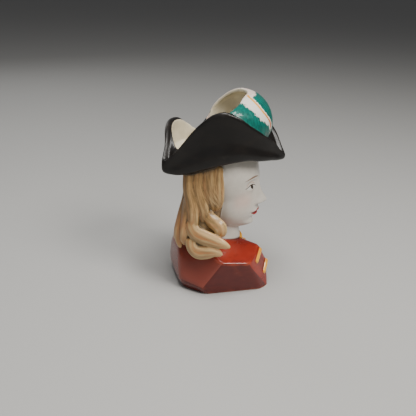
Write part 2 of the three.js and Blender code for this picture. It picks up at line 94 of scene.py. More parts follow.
def through_rows(rows, at):
    """Monotone cubic through rows of (position, value, ...): the slope at a row is the harmonic mean of the
    slopes beside it, or 0 where they differ in sign, so the curve never overshoots. Returns one array of
    values for each column."""
    rows = np.asarray(rows, float)
    x, y = rows[:, 0], rows[:, 1:].T
    slope = np.diff(y) / np.diff(x)
    before, after = slope[:, :-1], slope[:, 1:]
    same = before * after > 0
    tangent = np.where(same, 2 * before * after / np.where(same, before + after, 1), 0)
    tangent = np.pad(tangent, ((0, 0), (1, 1)))
    t = np.clip(at, x[0], x[-1])
    i = np.clip(np.searchsorted(x, t, side="right") - 1, 0, len(x) - 2)
    span = x[i + 1] - x[i]
    s = (t - x[i]) / span
    s2, s3 = s * s, s * s * s
    return (
        y[:, i] * (2 * s3 - 3 * s2 + 1)
        + tangent[:, i] * span * (s3 - 2 * s2 + s)
        + y[:, i + 1] * (3 * s2 - 2 * s3)
        + tangent[:, i + 1] * span * (s3 - s2)
    )


def bell(value, middle, spread):
    """exp(-((value - middle) / spread)^2)."""
    return np.exp(-(((value - middle) / spread) ** 2))


def step(value, start, end):
    """0 before start, 1 after end, and 3s^2 - 2s^3 between."""
    s = np.clip((value - start) / (end - start), 0, 1)
    return s * s * (3 - 2 * s)


def grid(around, along):
    """Two arrays, along x around: u runs once round without its end, and v from 0 to 1 with both ends."""
    return np.meshgrid(np.arange(around) / around, np.linspace(0, 1, along))


def directions(u, v):
    """Unit vectors: u turns round the upright axis from the front, and v rises from straight down to straight
    up."""
    turn, rise = 2 * np.pi * u, np.pi * (v - 0.5)
    return np.stack([np.sin(turn) * np.cos(rise), np.cos(turn) * np.cos(rise), np.sin(rise)], -1)


def closed_shell(points, values=None):
    """(corners, faces, values) of a grid of points that is closed round and comes to a pole at both ends.
    Its faces point outwards."""
    along, around = points.shape[:2]
    poles = points[[0, -1]].mean(axis=1)
    corners = np.concatenate([poles, points[1:-1].reshape(-1, 3)])
    ring = 2 + np.arange((along - 2) * around).reshape(along - 2, around)
    after = np.roll(ring, -1, axis=1)
    sides = np.stack([ring[:-1], after[:-1], after[1:], ring[1:]], -1).reshape(-1, 4)
    first = np.stack([np.zeros(around, int), after[0], ring[0]], -1)
    last = np.stack([np.ones(around, int), ring[-1], after[-1]], -1)
    triangles = np.concatenate([first, last, sides[:, [0, 1, 2]], sides[:, [0, 2, 3]]])
    a, b, c = (corners[triangles[:, k]] for k in range(3))
    if np.einsum("ij,ij->", a, np.cross(b, c)) < 0:
        triangles = triangles[:, ::-1]
    if values is not None:
        values = np.concatenate([values[[0, -1]].mean(axis=1), values[1:-1].reshape(-1, values.shape[-1])])
    return corners, triangles, values


def placed(points):
    """Drawn points (left, forward, up in mm) as points of the frame in metres."""
    left, forward, up = points[..., 0], points[..., 1], points[..., 2]
    return np.stack([left * SCALE + ORIGIN_X, -forward * SCALE + ORIGIN_Y, up * SCALE], -1)


COAT_TURN = np.radians(26)
CHEST = np.array([0, 2, 18.0])
# Direction (left, forward, up) and distance from the chest's middle, used on both sides.
COAT_PLANES = [
    (0, 0, -1, 22),
    (0, 1, 0, 36),
    (0.804, 0.585, 0.104, 41.4),
    (0, 0.87, 0.49, 31.6),
    (0.98, 0, -0.2, 36.4),
    (0.438, 0.1, 0.893, 25.7),
    (0.66, 0.705, 0.258, 38.7),
    (0, -1, 0, 35),
    (0.75, -0.62, 0.23, 35.5),
    (0, -0.85, -0.527, 36.6),
    (0.6, -0.6, -0.53, 39),
    (0, -0.35, 0.937, 27.5),
    (0, -0.8, 0.6, 35),
    (0.45, -0.45, 0.771, 32),
    (0, 0.2, 0.98, 20),
]
# The power that joins the planes in front of the arms and at the back: a higher one leaves sharper edges.
FRONT_POWER, BACK_POWER = 70, 26
# Which of the planes are painted as the arm cuts and the undercuts, both in painted shade, and as the back,
# with a painted sheen.
ARM_CUTS = (2, 4)
UNDERCUTS = (0, 9, 10)
BACKS = (7, 8, 11, 12, 13)
# The left shoulder's plane, which has no twin on the right.
LEANING = (0.296, 0.409, 0.862, 18.2)


def coat_facings(direction, inset=0):
    """How strongly each plane holds the coat in along a direction: its cosine over its distance."""
    shares = []
    for left, forward, up, distance in (*COAT_PLANES, LEANING):
        sides = (1, -1) if left and up != LEANING[2] else (1,)
        facing = [
            side * left * direction[..., 0] + forward * direction[..., 1] + up * direction[..., 2]
            for side in sides
        ]
        shares.append(np.maximum(np.maximum.reduce(facing), 0) / (distance - inset))
    return np.stack(shares)


def turned_with_coat(points, turn=COAT_TURN):
    """Points turned about the upright axis from the coat's left and forward to the head's."""
    c, s = np.cos(turn), np.sin(turn)
    left, forward, up = points[..., 0], points[..., 1], points[..., 2]
    return np.stack([left * c + forward * s, forward * c - left * s, up], -1)


def coat_reach(direction, inset=0):
    """Distance to the coat along a direction: (sum of each plane's facing ^ p) ^ (-1 / p), where p falls from
    FRONT_POWER to BACK_POWER, because the edges at the back are rounder."""
    power = BACK_POWER + (FRONT_POWER - BACK_POWER) * step(direction[..., 1], -0.75, -0.35)
    return (coat_facings(direction, inset) ** power).sum(axis=0) ** (-1 / power)


def coat_points(around, along, inset=0, floor=0):
    """The block between the coat's planes, with rounded edges, cut level at the floor's height."""
    direction = directions(*grid(around, along))
    points = CHEST + direction * coat_reach(direction, inset)[..., None]
    points[..., 2] = np.maximum(points[..., 2], floor)
    return turned_with_coat(points)


CRAVAT_MIDDLE = np.array([2, 18.5, 32.8])
CRAVAT_HALF = np.array([10, 5, 7.4])


def cravat_points(around, along):
    """A bow: an ellipsoid whose depth and height are scaled by 0.65 + 0.6 x^2, so that it is drawn in at its
    middle, with pleats pressed in across it."""
    direction = directions(*grid(around, along))
    side = direction[..., 0]
    pleats = 1 + 0.05 * np.cos(9 * np.arctan2(direction[..., 2], 1.2 - np.abs(side)))
    direction[..., 1:] *= ((0.65 + 0.6 * side**2) * pleats)[..., None]
    return turned_with_coat(CRAVAT_MIDDLE + CRAVAT_HALF * direction)


# Each bar's two ends on the coat.
BRAID_BARS = [
    ([-22.2, 31.6, 30.2], [-31.9, 25.3, 23.1]),
    ([-19.5, 38, 19], [-27.5, 33.7, 11]),
    ([22.2, 31.6, 30.2], [31.9, 25.3, 23.1]),
    ([10, 37, 27], [20, 36, 22]),
]
BRAID_WIDTH = 3.6
BRAID_THICK = 2.2
BRAID_RAISED = 1.3
BAR_ROUNDING = 8


def braid_points(start, end, around=28, along=24):
    """A bar between two points, on the coat's face under its middle: |x|^8 + |y|^8 + |z|^8 = 1, scaled to
    half the bar's width, thickness and length, so that it is a box with eased edges."""
    planes = np.array([*COAT_PLANES, LEANING, *((-left, *rest) for left, *rest in COAT_PLANES)])
    rays = np.array([start, end]) - CHEST
    face = planes[((planes[:, :3] @ rays.sum(axis=0)) / planes[:, 3]).argmax()]
    ends = CHEST + rays * (face[3] / (rays @ face[:3]))[:, None]
    along_bar = ends[1] - ends[0]
    length = np.linalg.norm(along_bar)
    along_bar /= length
    across = unit(np.cross(face[:3], along_bar))
    outward = np.cross(along_bar, across)
    middle = ends.mean(axis=0) + outward * (BRAID_RAISED - BRAID_THICK / 2)
    direction = directions(*grid(around, along))
    direction /= (np.abs(direction) ** BAR_ROUNDING).sum(axis=-1, keepdims=True) ** (1 / BAR_ROUNDING)
    half = np.array([BRAID_WIDTH, BRAID_THICK, length]) / 2
    return turned_with_coat(middle + (direction * half) @ np.stack([across, outward, along_bar]))


HEAD = np.array([0, 5, 78.0])
EGG_POWER = 14
EGGS = [([0, 5, 90], [26.5, 27.2, 29]), ([0, 11, 66.5], [20, 20, 22.5])]
MOUTH_LINE, MOUTH_HALF = 59.5, 7.8
NOSE_TIP = 69.6
EYE_SIDE, EYE_HEIGHT = 10.5, 81.8
BROW = 88.4
# Height, how far the nose's ridge stands out, and its half width.
NOSE_ROWS = [
    (64.8, 0, 4.2),
    (66, 2, 4.4),
    (67.4, 6.2, 4.6),
    (NOSE_TIP, 8.6, 4.5),
    (74, 6.4, 3.9),
    (78, 4.2, 3.6),
    (82, 2.3, 3.7),
    (85, 1.2, 4.4),
    (92, 0, 6),
]
FACE_CROWDING = 0.7
RISES = [(0, -90), (0.1, -60), (0.85, 26), (1, 90)]


def egg_reach(direction, inset):
    """Distance from the head's point to the smooth greater of two ellipsoids: (sum of reach^14) ^ (1/14)."""
    total = 0
    for middle, half in EGGS:
        half = np.array(half) - inset
        d, o = direction / half, (HEAD - middle) / half
        dd, od, oo = (d * d).sum(-1), (d * o).sum(-1), (o * o).sum() - 1
        total = total + ((-od + np.sqrt(np.maximum(od * od - dd * oo, 0))) / dd) ** EGG_POWER
    return total ** (1 / EGG_POWER)


def face_relief(left, up):
    """How far the face stands forward of the eggs: a sum of bells in side distance and height, for nose,
    nostril wings, eye sockets, eyeballs, lid edges, brow, cheek, muzzle, lips and chin."""
    side = np.abs(left)
    ridge, ridge_half = through_rows(NOSE_ROWS, up)
    nose = ridge * np.exp(-((side / ridge_half) ** 2.4))
    wings = 2.6 * bell(side, 4.8, 1.8) * bell(up, NOSE_TIP - 1.8, 2.1)
    nostrils = -1.4 * bell(side, 2.6, 1.1) * bell(up, NOSE_TIP - 3.6, 1.0)
    sockets = -3 * bell(side, EYE_SIDE - 0.5, 5.6) * bell(up, EYE_HEIGHT + 2, 4.2)
    eyeballs = 2.5 * bell(side, EYE_SIDE, 4.5) * bell(up, EYE_HEIGHT - 0.4, 3.1)
    reach = np.clip((side - EYE_SIDE) / 5.8, -1, 1)
    lid_ends = np.sqrt(1 - reach * reach)
    upper_lid = 0.55 * lid_ends * bell(up, EYE_HEIGHT + 0.2 + 1.5 * lid_ends, 0.75)
    lid_crease = -0.5 * lid_ends * bell(up, EYE_HEIGHT + 1.6 + 2.2 * lid_ends, 0.7)
    lower_lid = 0.3 * lid_ends * bell(up, EYE_HEIGHT - 0.6 - 1.6 * lid_ends, 0.7)
    brow = 1.2 * bell(side, EYE_SIDE - 1, 8) * bell(up, BROW, 2.4)
    cheek = 1.5 * bell(side, 14.5, 6) * bell(up, 73.5, 6.5)
    muzzle = 2.2 * bell(side, 0, 9.5) * bell(up, MOUTH_LINE + 1, 6)
    philtrum = -0.35 * bell(side, 0, 1.1) * bell(up, MOUTH_LINE + 4.6, 1.6)
    along = side / MOUTH_HALF
    full = np.maximum(1 - along**2, 0) ** 0.7
    bow = 0.5 * bell(side, 0, 1.4)
    upper_lip = 1.8 * full * bell(up, MOUTH_LINE + 1.9 - 0.9 * along**2 - bow, 1.2)
    lower_lip = 1.9 * full * bell(up, MOUTH_LINE - 2 + 0.9 * along**2, 1.4)
    parting = -1.3 * bell(side, 0, MOUTH_HALF) * bell(up, MOUTH_LINE, 0.6)
    corners = -0.5 * bell(side, MOUTH_HALF + 0.4, 1.2) * bell(up, MOUTH_LINE, 1.2)
    under_lip = -0.8 * bell(side, 0, 6.5) * bell(up, 54.4, 1.8)
    chin = 7 * bell(side, 0, 9) * bell(up, 47.8, 4.6)
    eyes = sockets + eyeballs + upper_lid + lid_crease + lower_lid + brow
    mouth = muzzle + philtrum + upper_lip + lower_lip + parting + corners + under_lip
    return nose + wings + nostrils + eyes + cheek + mouth + chin


def head_points(around, along):
    """The eggs with the face's relief pushed forward; u and v are crowded towards the face."""
    u, v = grid(around, along)
    crowded = u - FACE_CROWDING * np.sin(2 * np.pi * u) / (2 * np.pi)
    direction = directions(crowded, 0.5 + through_rows(RISES, v)[0] / 180)
    points = HEAD + direction * egg_reach(direction, 0)[..., None]
    front = step(direction[..., 1], 0.25, 0.6)
    points[..., 1] += front * face_relief(points[..., 0], points[..., 2])
    return points


def head_hollow_points(around, along, inset):
    """The eggs alone, an inset further in."""
    direction = directions(*grid(around, along))
    return HEAD + direction * egg_reach(direction, inset)[..., None]


NECK = [(20, 4.5, 14.5, 14.5), (34, 4.5, 15.5, 15.5), (44, 5, 14, 14.5), (60, 6, 14, 14)]
THROAT = [(13, 4, 14, 14), (44, 5, 14, 14.5), (74, 6, 14, 14)]
HAIR_MASS = [
    (22, -11, 27, 14),
    (36, -11, 28.5, 14),
    (46, -8, 29.5, 14.5),
    (60, -5, 28.5, 16.5),
    (80, -3, 28.5, 19),
    (108, -3, 28, 20),
]


def column_points(rows, around, along, inset=0, flutes=0.0):
    """An upright column of oval sections through rows of (height, forward, half width, half depth), closed by
    flat ends. Flutes press soft grooves into it: each section is scaled by 1 + flutes * (|cos 12t| - 0.6)."""
    u, v = grid(around, along)
    turn = 2 * np.pi * u
    rise = np.clip(v * 1.2 - 0.1, 0, 1)
    end = np.clip(np.minimum(v, 1 - v) / 0.1, 0, 1)
    up = rows[0][0] + (rows[-1][0] - rows[0][0]) * rise
    forward, wide, deep = through_rows(rows, up)
    lag = 0.6 * np.sin(up * 0.11) + 0.3 * np.sin(up * 0.23 + 1)
    ridges = 1 + flutes * (np.abs(np.cos(12 * turn + lag)) - 0.6)
    left = (wide - inset) * end * np.sin(turn) * ridges
    ahead = forward + (deep - inset) * end * np.cos(turn) * ridges
    return np.stack([left, ahead, up], -1)


CURL_BED_MIDDLE = np.array([27, -3, 50])
CURL_BED_HALF = np.array([8, 10, 16])


def curl_bed_points(side, around, along):
    """An ellipsoid under the curls at one side."""
    points = CURL_BED_MIDDLE + CURL_BED_HALF * directions(*grid(around, along))
    return points * [side, 1, 1]


# Each lock's points (left, forward, up) from the hat to its tip, then its half width, its half depth, how
# blunt its tip is and its number of strands: the pad beside the face, the strand behind it, the rear one,
# then the curl, the sweep and the lump below them, and the locks over the back.
LOCKS = [
    (
        [(26.5, 1, 103), (28.5, 1.2, 94), (29.6, 2.4, 85), (29.8, 3.4, 76), (27.5, 3.8, 65.5)],
        *(8.8, 3.4, 0.9, 9),
    ),
    (
        [(28.5, -9, 101), (30.5, -9.1, 86), (31.5, -6.8, 76), (32, -3.4, 67), (31, -2.6, 59)]
        + [(28.5, -2.3, 53)],
        *(5, 3.2, 0.8, 5),
    ),
    (
        [(28.5, -15.5, 100), (30.5, -15, 84), (32, -12.5, 73.5), (33.5, -10.8, 63.5), (34, -10.4, 55)]
        + [(34, -9.5, 48)],
        *(5.2, 3.8, 0.8, 6),
    ),
    (
        [(29, -3, 67), (31.5, 1.1, 62), (33.5, 5.8, 59.5), (34.5, 9.8, 56.5), (34, 10.2, 52.5)]
        + [(31.5, 6.5, 49.5)],
        *(5.4, 3.8, 0.9, 7),
    ),
    (
        [(32, -12, 62), (34.5, -11, 54.5), (36, -7.5, 50), (37.5, -2, 48.6), (38.5, 4.5, 47.4)]
        + [(39, 12, 45.6), (38.5, 19.5, 43)],
        *(6, 3.8, 0.1, 8),
    ),
    (
        [(34, -10.5, 47), (36.5, -9.5, 40), (38, -5.5, 36.7), (38.5, 0.3, 37.2), (39.5, 7, 38.7)]
        + [(39.5, 14, 36.8)],
        *(6, 3.8, 0.15, 8),
    ),
    (
        [(29, -15, 80), (31, -15.5, 63.3), (32, -16.1, 55.5), (33, -16.6, 49.1), (33, -17.2, 43)]
        + [(33, -16.7, 38)],
        *(4.2, 3.8, 0.2, 5),
    ),
    (
        [(25, -16, 98), (26.5, -16.5, 76), (27, -19.3, 62.6), (28, -20.9, 54.6), (29, -22.3, 46.6)]
        + [(29, -22, 39), (30, -20.4, 33.5)],
        *(4.4, 3.8, 0.2, 6),
    ),
    ([(16, -18.5, 97), (16, -18, 74), (18, -20, 56), (18, -25, 44), (20, -28, 36)], 5.6, 3.8, 0.3, 6),
    ([(7, -20, 97), (7, -20, 72), (8, -21.5, 54), (6, -26.5, 44), (8, -30.5, 36)], 5.6, 3.8, 0.25, 6),
]
MIDDLE_LOCK = (
    [(0, -20.5, 96), (0.5, -20.5, 70), (-1, -21.5, 56), (0.5, -27, 44), (-1, -31, 37)],
    *(5, 3.6, 0.3, 6),
)


def unit(vectors):
    """Vectors over their lengths."""
    return vectors / np.linalg.norm(vectors, axis=-1, keepdims=True)


def curve_through(path, v):
    """Centripetal Catmull-Rom curve through a path: cubic pieces whose end slopes come from the three spans
    around a piece, each weighed by the square root of its length. v shares its pieces out evenly."""
    path = np.asarray(path, float)
    padded = np.concatenate([[2 * path[0] - path[1]], path, [2 * path[-1] - path[-2]]])
    root = np.sqrt(np.linalg.norm(np.diff(padded, axis=0), axis=1))
    at = np.clip(v * (len(path) - 1), 0, len(path) - 1 - 1e-9)
    i = at.astype(int)
    s = (at - i)[..., None]
    p0, p1, p2, p3 = (padded[i + k] for k in range(4))
    d0, d1, d2 = (root[i + k][..., None] for k in range(3))
    start = ((p1 - p0) / d0 - (p2 - p0) / (d0 + d1) + (p2 - p1) / d1) * d1
    end = ((p2 - p1) / d1 - (p3 - p1) / (d1 + d2) + (p3 - p2) / d2) * d1
    a, b = -3 * p1 + 3 * p2 - 2 * start - end, 2 * p1 - 2 * p2 + start + end
    return p1 + s * (start + s * (a + s * b)), start + s * (2 * a + 3 * s * b)


def lock_points(lock, side, around, along):
    """An oval section carried along a lock's path, flat to the head, and swelling and tapering to its tip.
    Strands groove it: the section is scaled by 1 + 0.12 (|cos(n t / 2 + twist)| - 0.6)."""
    path, wide, deep, blunt, strands = lock
    u, v = grid(around, along)
    centre, tangent = curve_through([(side * left, forward, up) for left, forward, up in path], v)
    tangent = unit(tangent)
    outward = unit(centre * [1, 1, 0])
    across = unit(np.cross(tangent, outward))
    outward = unit(np.cross(across, tangent))
    start = np.sqrt(np.clip(v / 0.08, 0, 1))
    swell = 0.78 + 0.22 * np.sin(np.pi * (0.15 + 0.8 * v))
    tip = np.sqrt(np.maximum(1 - np.maximum((v - 0.55) / 0.45, 0) ** (1.4 + 3 * blunt), 0))
    turn = 2 * np.pi * u * side
    twist = 1.8 * side * v
    ridges = 1 + 0.12 * (np.abs(np.cos(strands * turn / 2 + twist)) - 0.6)
    size = (start * swell * tip * ridges)[..., None]
    points = centre + size * (
        across * (wide * np.cos(turn))[..., None] + outward * (deep * np.sin(turn))[..., None]
    )
    return points, np.stack([np.cos(turn) * wide, np.sin(turn) * deep, v * 40 + 17 * wide], -1)


# Degrees from the front, plan radius, height of the turned-up edge, height of the fold below it.
HAT_ROWS = [
    (0, 48.4, 107.8, 101.8),
    (5, 47.4, 110.6, 102.4),
    (15, 44.3, 118.5, 104),
    (31, 40.8, 126, 105.5),
    (45, 38.5, 132.5, 107),
    (58, 37.4, 138.5, 106.5),
    (74, 36.4, 142, 104.5),
    (86, 35.8, 140, 102),
    (98, 36.3, 134.5, 99.5),
    (107, 38, 128.5, 97.3),
    (115, 41, 120.5, 95.6),
    (122, 46, 111.5, 95),
    (128.5, 49.4, 106, 95.2),
    (133, 47.4, 110, 95.6),
    (138, 44.4, 115.5, 96),
    (145, 42, 119.5, 96.2),
    (152, 40.6, 122.5, 96.4),
    (160, 39.4, 124.5, 96.8),
    (170, 38.6, 125.5, 97),
    (180, 38.4, 125.8, 97),
]
EDGE = 3.4
REAR_POINT = 129
CROWN_FRONT, CROWN_REAR = 136, 124
CAP_ROWS = ([0, 0.12, 0.32, 1], [0, 0.346, 0.566, 1])
# Share of the fold-to-edge height, how far outside the plan radius, how much further at the blunt points.
BRIM_PROFILE = [
    (-0.02, -9, 0),
    (-0.045, -5, 0),
    (-0.03, -1.8, -1.2),
    (0.03, 0.2, -0.8),
    (0.16, 1, 0.6),
    (0.45, 0, 2.6),
    (0.75, 0.3, 2.2),
    (0.93, 0.8, 0.6),
    (0.985, 0.2, -0.4),
    (1, -1.2, -0.6),
    (0.995, -2.6, 0),
    (0.96, -EDGE, 0),
]


def from_front(degrees):
    """An angle from the face's middle, 0 to 180 on either side."""
    return np.abs((degrees + 540) % 360 - 180)


def around_axis(degrees, distance, up):
    """Points at an angle, a distance from the upright axis and a height."""
    angle = np.radians(degrees)
    return np.stack(np.broadcast_arrays(distance * np.sin(angle), distance * np.cos(angle), up), -1)


def hat_points(around, brim_steps=48, cap_steps=14):
    """The hat's side as a profile from under the fold to the inner lip of the edge, and a cap over it, at
    each angle round the upright axis."""
    degrees = np.arange(around) * 360 / around
    away = from_front(degrees)
    radius, edge, fold = through_rows(HAT_ROWS, away)
    numbered = [(k, *row) for k, row in enumerate(BRIM_PROFILE)]
    share, outside, blunt = through_rows(numbered, np.linspace(0, len(numbered) - 1, brim_steps))
    at_point = bell(away, 0, 7) + bell(away, REAR_POINT, 6)
    brim_out = radius + outside[:, None] + blunt[:, None] * at_point
    brim_up = fold + (edge - fold) * share[:, None]
    inward = np.linspace(0, 1, cap_steps)[1:, None]
    crown = CROWN_FRONT + (CROWN_REAR - CROWN_FRONT) * step(away, 30, 90)
    cap_out = (radius - EDGE) * (1 - inward)
    cap_up = edge * 0.96 + fold * 0.04 + (crown - edge) * np.interp(inward, *CAP_ROWS)
    under_out = np.linspace(0, 1, 8)[:, None] * np.full(around, 24.0)
    under_up = np.full((8, around), 104.0)
    distance = np.concatenate([under_out, brim_out, cap_out])
    return around_axis(degrees, distance, np.concatenate([under_up, brim_up, cap_up]))


# Degrees from the front (positive to the left), lip radius, top, outer radius, height of the outer edge.
FEATHER_ROWS = [
    (-72, 34.4, 141.4, 35, 141),
    (-60, 30, 143.6, 36.8, 138.5),
    (-45, 24.5, 146, 38.4, 132.5),
    (-30, 21, 148, 39.9, 127.6),
    (-10, 19.5, 149.3, 40.3, 127.6),
    (10, 19.5, 149.8, 39.2, 129),
    (30, 20, 150, 37.8, 131.5),
    (50, 20.5, 149.8, 36.4, 134.5),
    (70, 22.5, 148, 35.8, 137),
    (86, 25.6, 144.5, 36, 137),
    (100, 30, 138.5, 36.4, 131.5),
    (110, 33, 131.5, 36.8, 126),
    (118, 35.4, 123, 37, 121),
]
FEATHER_START, FEATHER_END = FEATHER_ROWS[0][0], FEATHER_ROWS[-1][0]
UNDER_FEATHER = 17
# The quill's line on the feather: degrees from the front and turn from the outer edge to the lip.
QUILL = [
    (-12.5, 2),
    (-13.5, 10),
    (-18.5, 24),
    (-23, 39),
    (-24.5, 58),
    (-20, 79),
    (-6, 86),
    (12, 86),
    (40, 84),
    (75, 84),
    (100, 84),
    (117, 80),
]


def on_feather(degrees, turn, closing):
    """A point of the feather: a quarter oval from its outer edge over to its lip, and a deeper one below."""
    lip, top, outer, low = through_rows(FEATHER_ROWS, degrees)
    rise = np.where(np.sin(turn) > 0, top - low, UNDER_FEATHER)
    width = (outer - lip) * np.where(np.cos(turn) > 0, 1, 0.4)
    return around_axis(degrees, lip + width * np.cos(turn) * closing, low + rise * np.sin(turn) * closing)


def feather_points(around, along):
    """The feather's ovals along its arc, with fine barbs combed into them aslant from the quill."""
    u, v = grid(around, along)
    degrees = FEATHER_START + (FEATHER_END - FEATHER_START) * v
    turn = 2 * np.pi * u
    closing = np.sqrt(np.clip(np.minimum(v, 1 - v) / 0.05, 0, 1))
    barbs = np.abs(np.sin(np.radians(degrees) * 26 + 2.2 * np.sin(turn))) - 0.5
    return on_feather(degrees, turn, closing * (1 + 0.012 * barbs))


def quill_line(count=160):
    """Points along the quill."""
    numbered = [(k, *row) for k, row in enumerate(QUILL)]
    degrees, turn = through_rows(numbered, np.linspace(0, len(QUILL) - 1, count))
    return on_feather(degrees, np.radians(turn), 1.0)


HOLLOW_ROUND = 38.5
# The height that the way out above the mouth is cut up to.
OUT_OF_MOUTH = 158.0


def hat_hollow_points(around, wall, arc=8):
    """The room inside the hat: at each angle a floor, a side, the feather's underside and a way out above."""
    degrees = np.arange(around) * 360 / around
    signed = (degrees + 180) % 360 - 180
    radius, edge, fold = through_rows(HAT_ROWS, from_front(degrees))
    side = ((radius - wall) ** -12 + HOLLOW_ROUND**-12) ** (-1 / 12)
    covered = step(signed, FEATHER_START - 4, FEATHER_START + 4)
    covered = covered * step(-signed, -FEATHER_END - 4, 4 - FEATHER_END)
    lip, top, outer, low = (
        covered * over + (1 - covered) * open_side
        for over, open_side in zip(through_rows(FEATHER_ROWS, signed), (side, edge, side + wall, edge))
    )
    floor = fold + wall + 1.5
    reach = np.minimum(side, outer - wall)
    mouth = np.minimum(lip, reach)
    spring = np.maximum(np.minimum(low, top - wall - 1), floor + 6)
    turn = np.linspace(0, np.pi / 2, arc)[:, None]
    arch = np.maximum(top - wall * 0.8 - spring, 0.5)
    above = np.full((1, around), OUT_OF_MOUTH)
    distance = [0 * reach[None], reach * (0.45 + 0.55 * np.sin(turn)), mouth + (reach - mouth) * np.cos(turn)]
    up = [floor[None], floor + 5 * (1 - np.cos(turn)), spring + arch * np.sin(turn)]
    distance += [mouth[None] + 0.3, mouth[None] + 0.6, 0 * mouth[None]]
    up += [top[None] + 0.5, above, above]
    return around_axis(degrees, np.concatenate(distance), np.concatenate(up))


# Meshes.


def new_object(name, shells):
    """One mesh object from closed shells, with each corner's strand coordinates where a shell has them."""
    corners, faces, strands, offset = [], [], [], 0
    for shell_corners, shell_faces, values in shells:
        corners.append(placed(shell_corners))
        faces.append(shell_faces[:, ::-1] + offset)
        strands.append(np.zeros_like(shell_corners) if values is None else values)
        offset += len(shell_corners)
    corners, faces, strands = (np.concatenate(parts) for parts in (corners, faces, strands))
    mesh = bpy.data.meshes.new(name)
    mesh.vertices.add(len(corners))
    mesh.vertices.foreach_set("co", corners.ravel())
    mesh.loops.add(faces.size)
    mesh.loops.foreach_set("vertex_index", faces.ravel().astype(np.int32))
    mesh.polygons.add(len(faces))
    mesh.polygons.foreach_set("loop_start", np.arange(0, faces.size, 3, dtype=np.int32))
    mesh.update(calc_edges=True)
    mesh.attributes.new("strand", "FLOAT_VECTOR", "POINT").data.foreach_set("vector", strands.ravel())
    obj = bpy.data.objects.new(name, mesh)
    bpy.context.scene.collection.objects.link(obj)
    return obj


def settle(obj):
    """Applies an object's modifiers to its mesh."""
    depsgraph = bpy.context.evaluated_depsgraph_get()
    mesh = bpy.data.meshes.new_from_object(obj.evaluated_get(depsgraph))
    old = obj.data
    obj.modifiers.clear()
    obj.data = mesh
    bpy.data.meshes.remove(old)


def carve(obj, operation, shells, name):
    """Joins shells to an object, or cuts them out of it, with every one of them a solid of its own."""
    tools = bpy.data.collections.new(name)
    bpy.context.scene.collection.children.link(tools)
    for number, shell in enumerate(shells):
        tool = new_object(f"{name}_{number}", [shell])
        bpy.context.scene.collection.objects.unlink(tool)
        tools.objects.link(tool)
    modifier = obj.modifiers.new(name, "BOOLEAN")
    modifier.operation = operation
    modifier.solver = "MANIFOLD"
    modifier.operand_type = "COLLECTION"
    modifier.collection = tools
    settle(obj)
    for tool in list(tools.objects):
        mesh = tool.data
        bpy.data.objects.remove(tool)
        bpy.data.meshes.remove(mesh)
    bpy.data.collections.remove(tools)


def corner_array(mesh):
    """A mesh's corners as an array of points."""
    flat = np.empty(len(mesh.vertices) * 3)
    mesh.vertices.foreach_get("co", flat)
    return flat.reshape(-1, 3)


def relaxed(mesh, points, times):
    """Points moved towards the mean of their neighbours, times over: p <- (p + mean) / 2."""
    edges = np.empty(len(mesh.edges) * 2, dtype=np.int32)
    mesh.edges.foreach_get("vertices", edges)
    a, b = edges.reshape(-1, 2).T
    count = np.bincount(a, minlength=len(points)) + np.bincount(b, minlength=len(points))
    for _ in range(times):
        total = np.stack(
            [
                np.bincount(a, points[b, k], len(points)) + np.bincount(b, points[a, k], len(points))
                for k in range(points.shape[1])
            ],
            -1,
        )
        points = (points + total / count[:, None]) / 2
    return points


def store(mesh, name, values):
    """Keeps one number for each corner as a mesh attribute."""
    attribute = mesh.attributes.get(name) or mesh.attributes.new(name, "FLOAT", "POINT")
    attribute.data.foreach_set("value", np.ascontiguousarray(values, dtype=np.float32))


def measured(obj, regions, hair):
    """Adds to an object how far each corner lies from each region's shells, and the strand coordinates of the
    nearest hair, through a tree of geometry nodes."""
    tree = bpy.data.node_groups.new("measure", "GeometryNodeTree")
    tree.interface.new_socket("Geometry", in_out="INPUT", socket_type="NodeSocketGeometry")
    tree.interface.new_socket("Geometry", in_out="OUTPUT", socket_type="NodeSocketGeometry")
    link = tree.links.new
    flow = tree.nodes.new("NodeGroupInput").outputs[0]
    for name, region in regions.items():
        info = tree.nodes.new("GeometryNodeObjectInfo")
        info.inputs["Object"].default_value = region
        near = tree.nodes.new("GeometryNodeProximity")
        near.target_element = "FACES"
        link(info.outputs["Geometry"], near.inputs[0])
        keep = tree.nodes.new("GeometryNodeStoreNamedAttribute")
        keep.inputs["Name"].default_value = "to_" + name
        link(flow, keep.inputs["Geometry"])
        link(near.outputs["Distance"], keep.inputs["Value"])
        flow = keep.outputs["Geometry"]
    info = tree.nodes.new("GeometryNodeObjectInfo")
    info.inputs["Object"].default_value = hair
    strand = tree.nodes.new("GeometryNodeInputNamedAttribute")
    strand.data_type = "FLOAT_VECTOR"
    strand.inputs["Name"].default_value = "strand"
    sample = tree.nodes.new("GeometryNodeSampleNearestSurface")
    sample.data_type = "FLOAT_VECTOR"
    link(info.outputs["Geometry"], sample.inputs["Mesh"])
    link(strand.outputs["Attribute"], sample.inputs["Value"])
    keep = tree.nodes.new("GeometryNodeStoreNamedAttribute")
    keep.data_type = "FLOAT_VECTOR"
    keep.inputs["Name"].default_value = "strand"
    link(flow, keep.inputs["Geometry"])
    link(sample.outputs["Value"], keep.inputs["Value"])
    link(keep.outputs["Geometry"], tree.nodes.new("NodeGroupOutput").inputs[0])
    obj.modifiers.new("measure", "NODES").node_group = tree
    settle(obj)
    bpy.data.node_groups.remove(tree)


def column_of(mesh, name):
    """One float attribute of a mesh as an array."""
    values = np.empty(len(mesh.vertices))
    mesh.attributes[name].data.foreach_get("value", values)
    return values


def drawn(points):
    """Points of the frame in metres as drawn points (left, forward, up in mm)."""
    x, y, z = points[:, 0], points[:, 1], points[:, 2]
    return np.stack([(x - ORIGIN_X) / SCALE, (ORIGIN_Y - y) / SCALE, z / SCALE], -1)


REGIONS = ("coat", "gold", "face", "hair", "hat", "feather", "inside")
TRIANGLE_LIMIT = 190_000
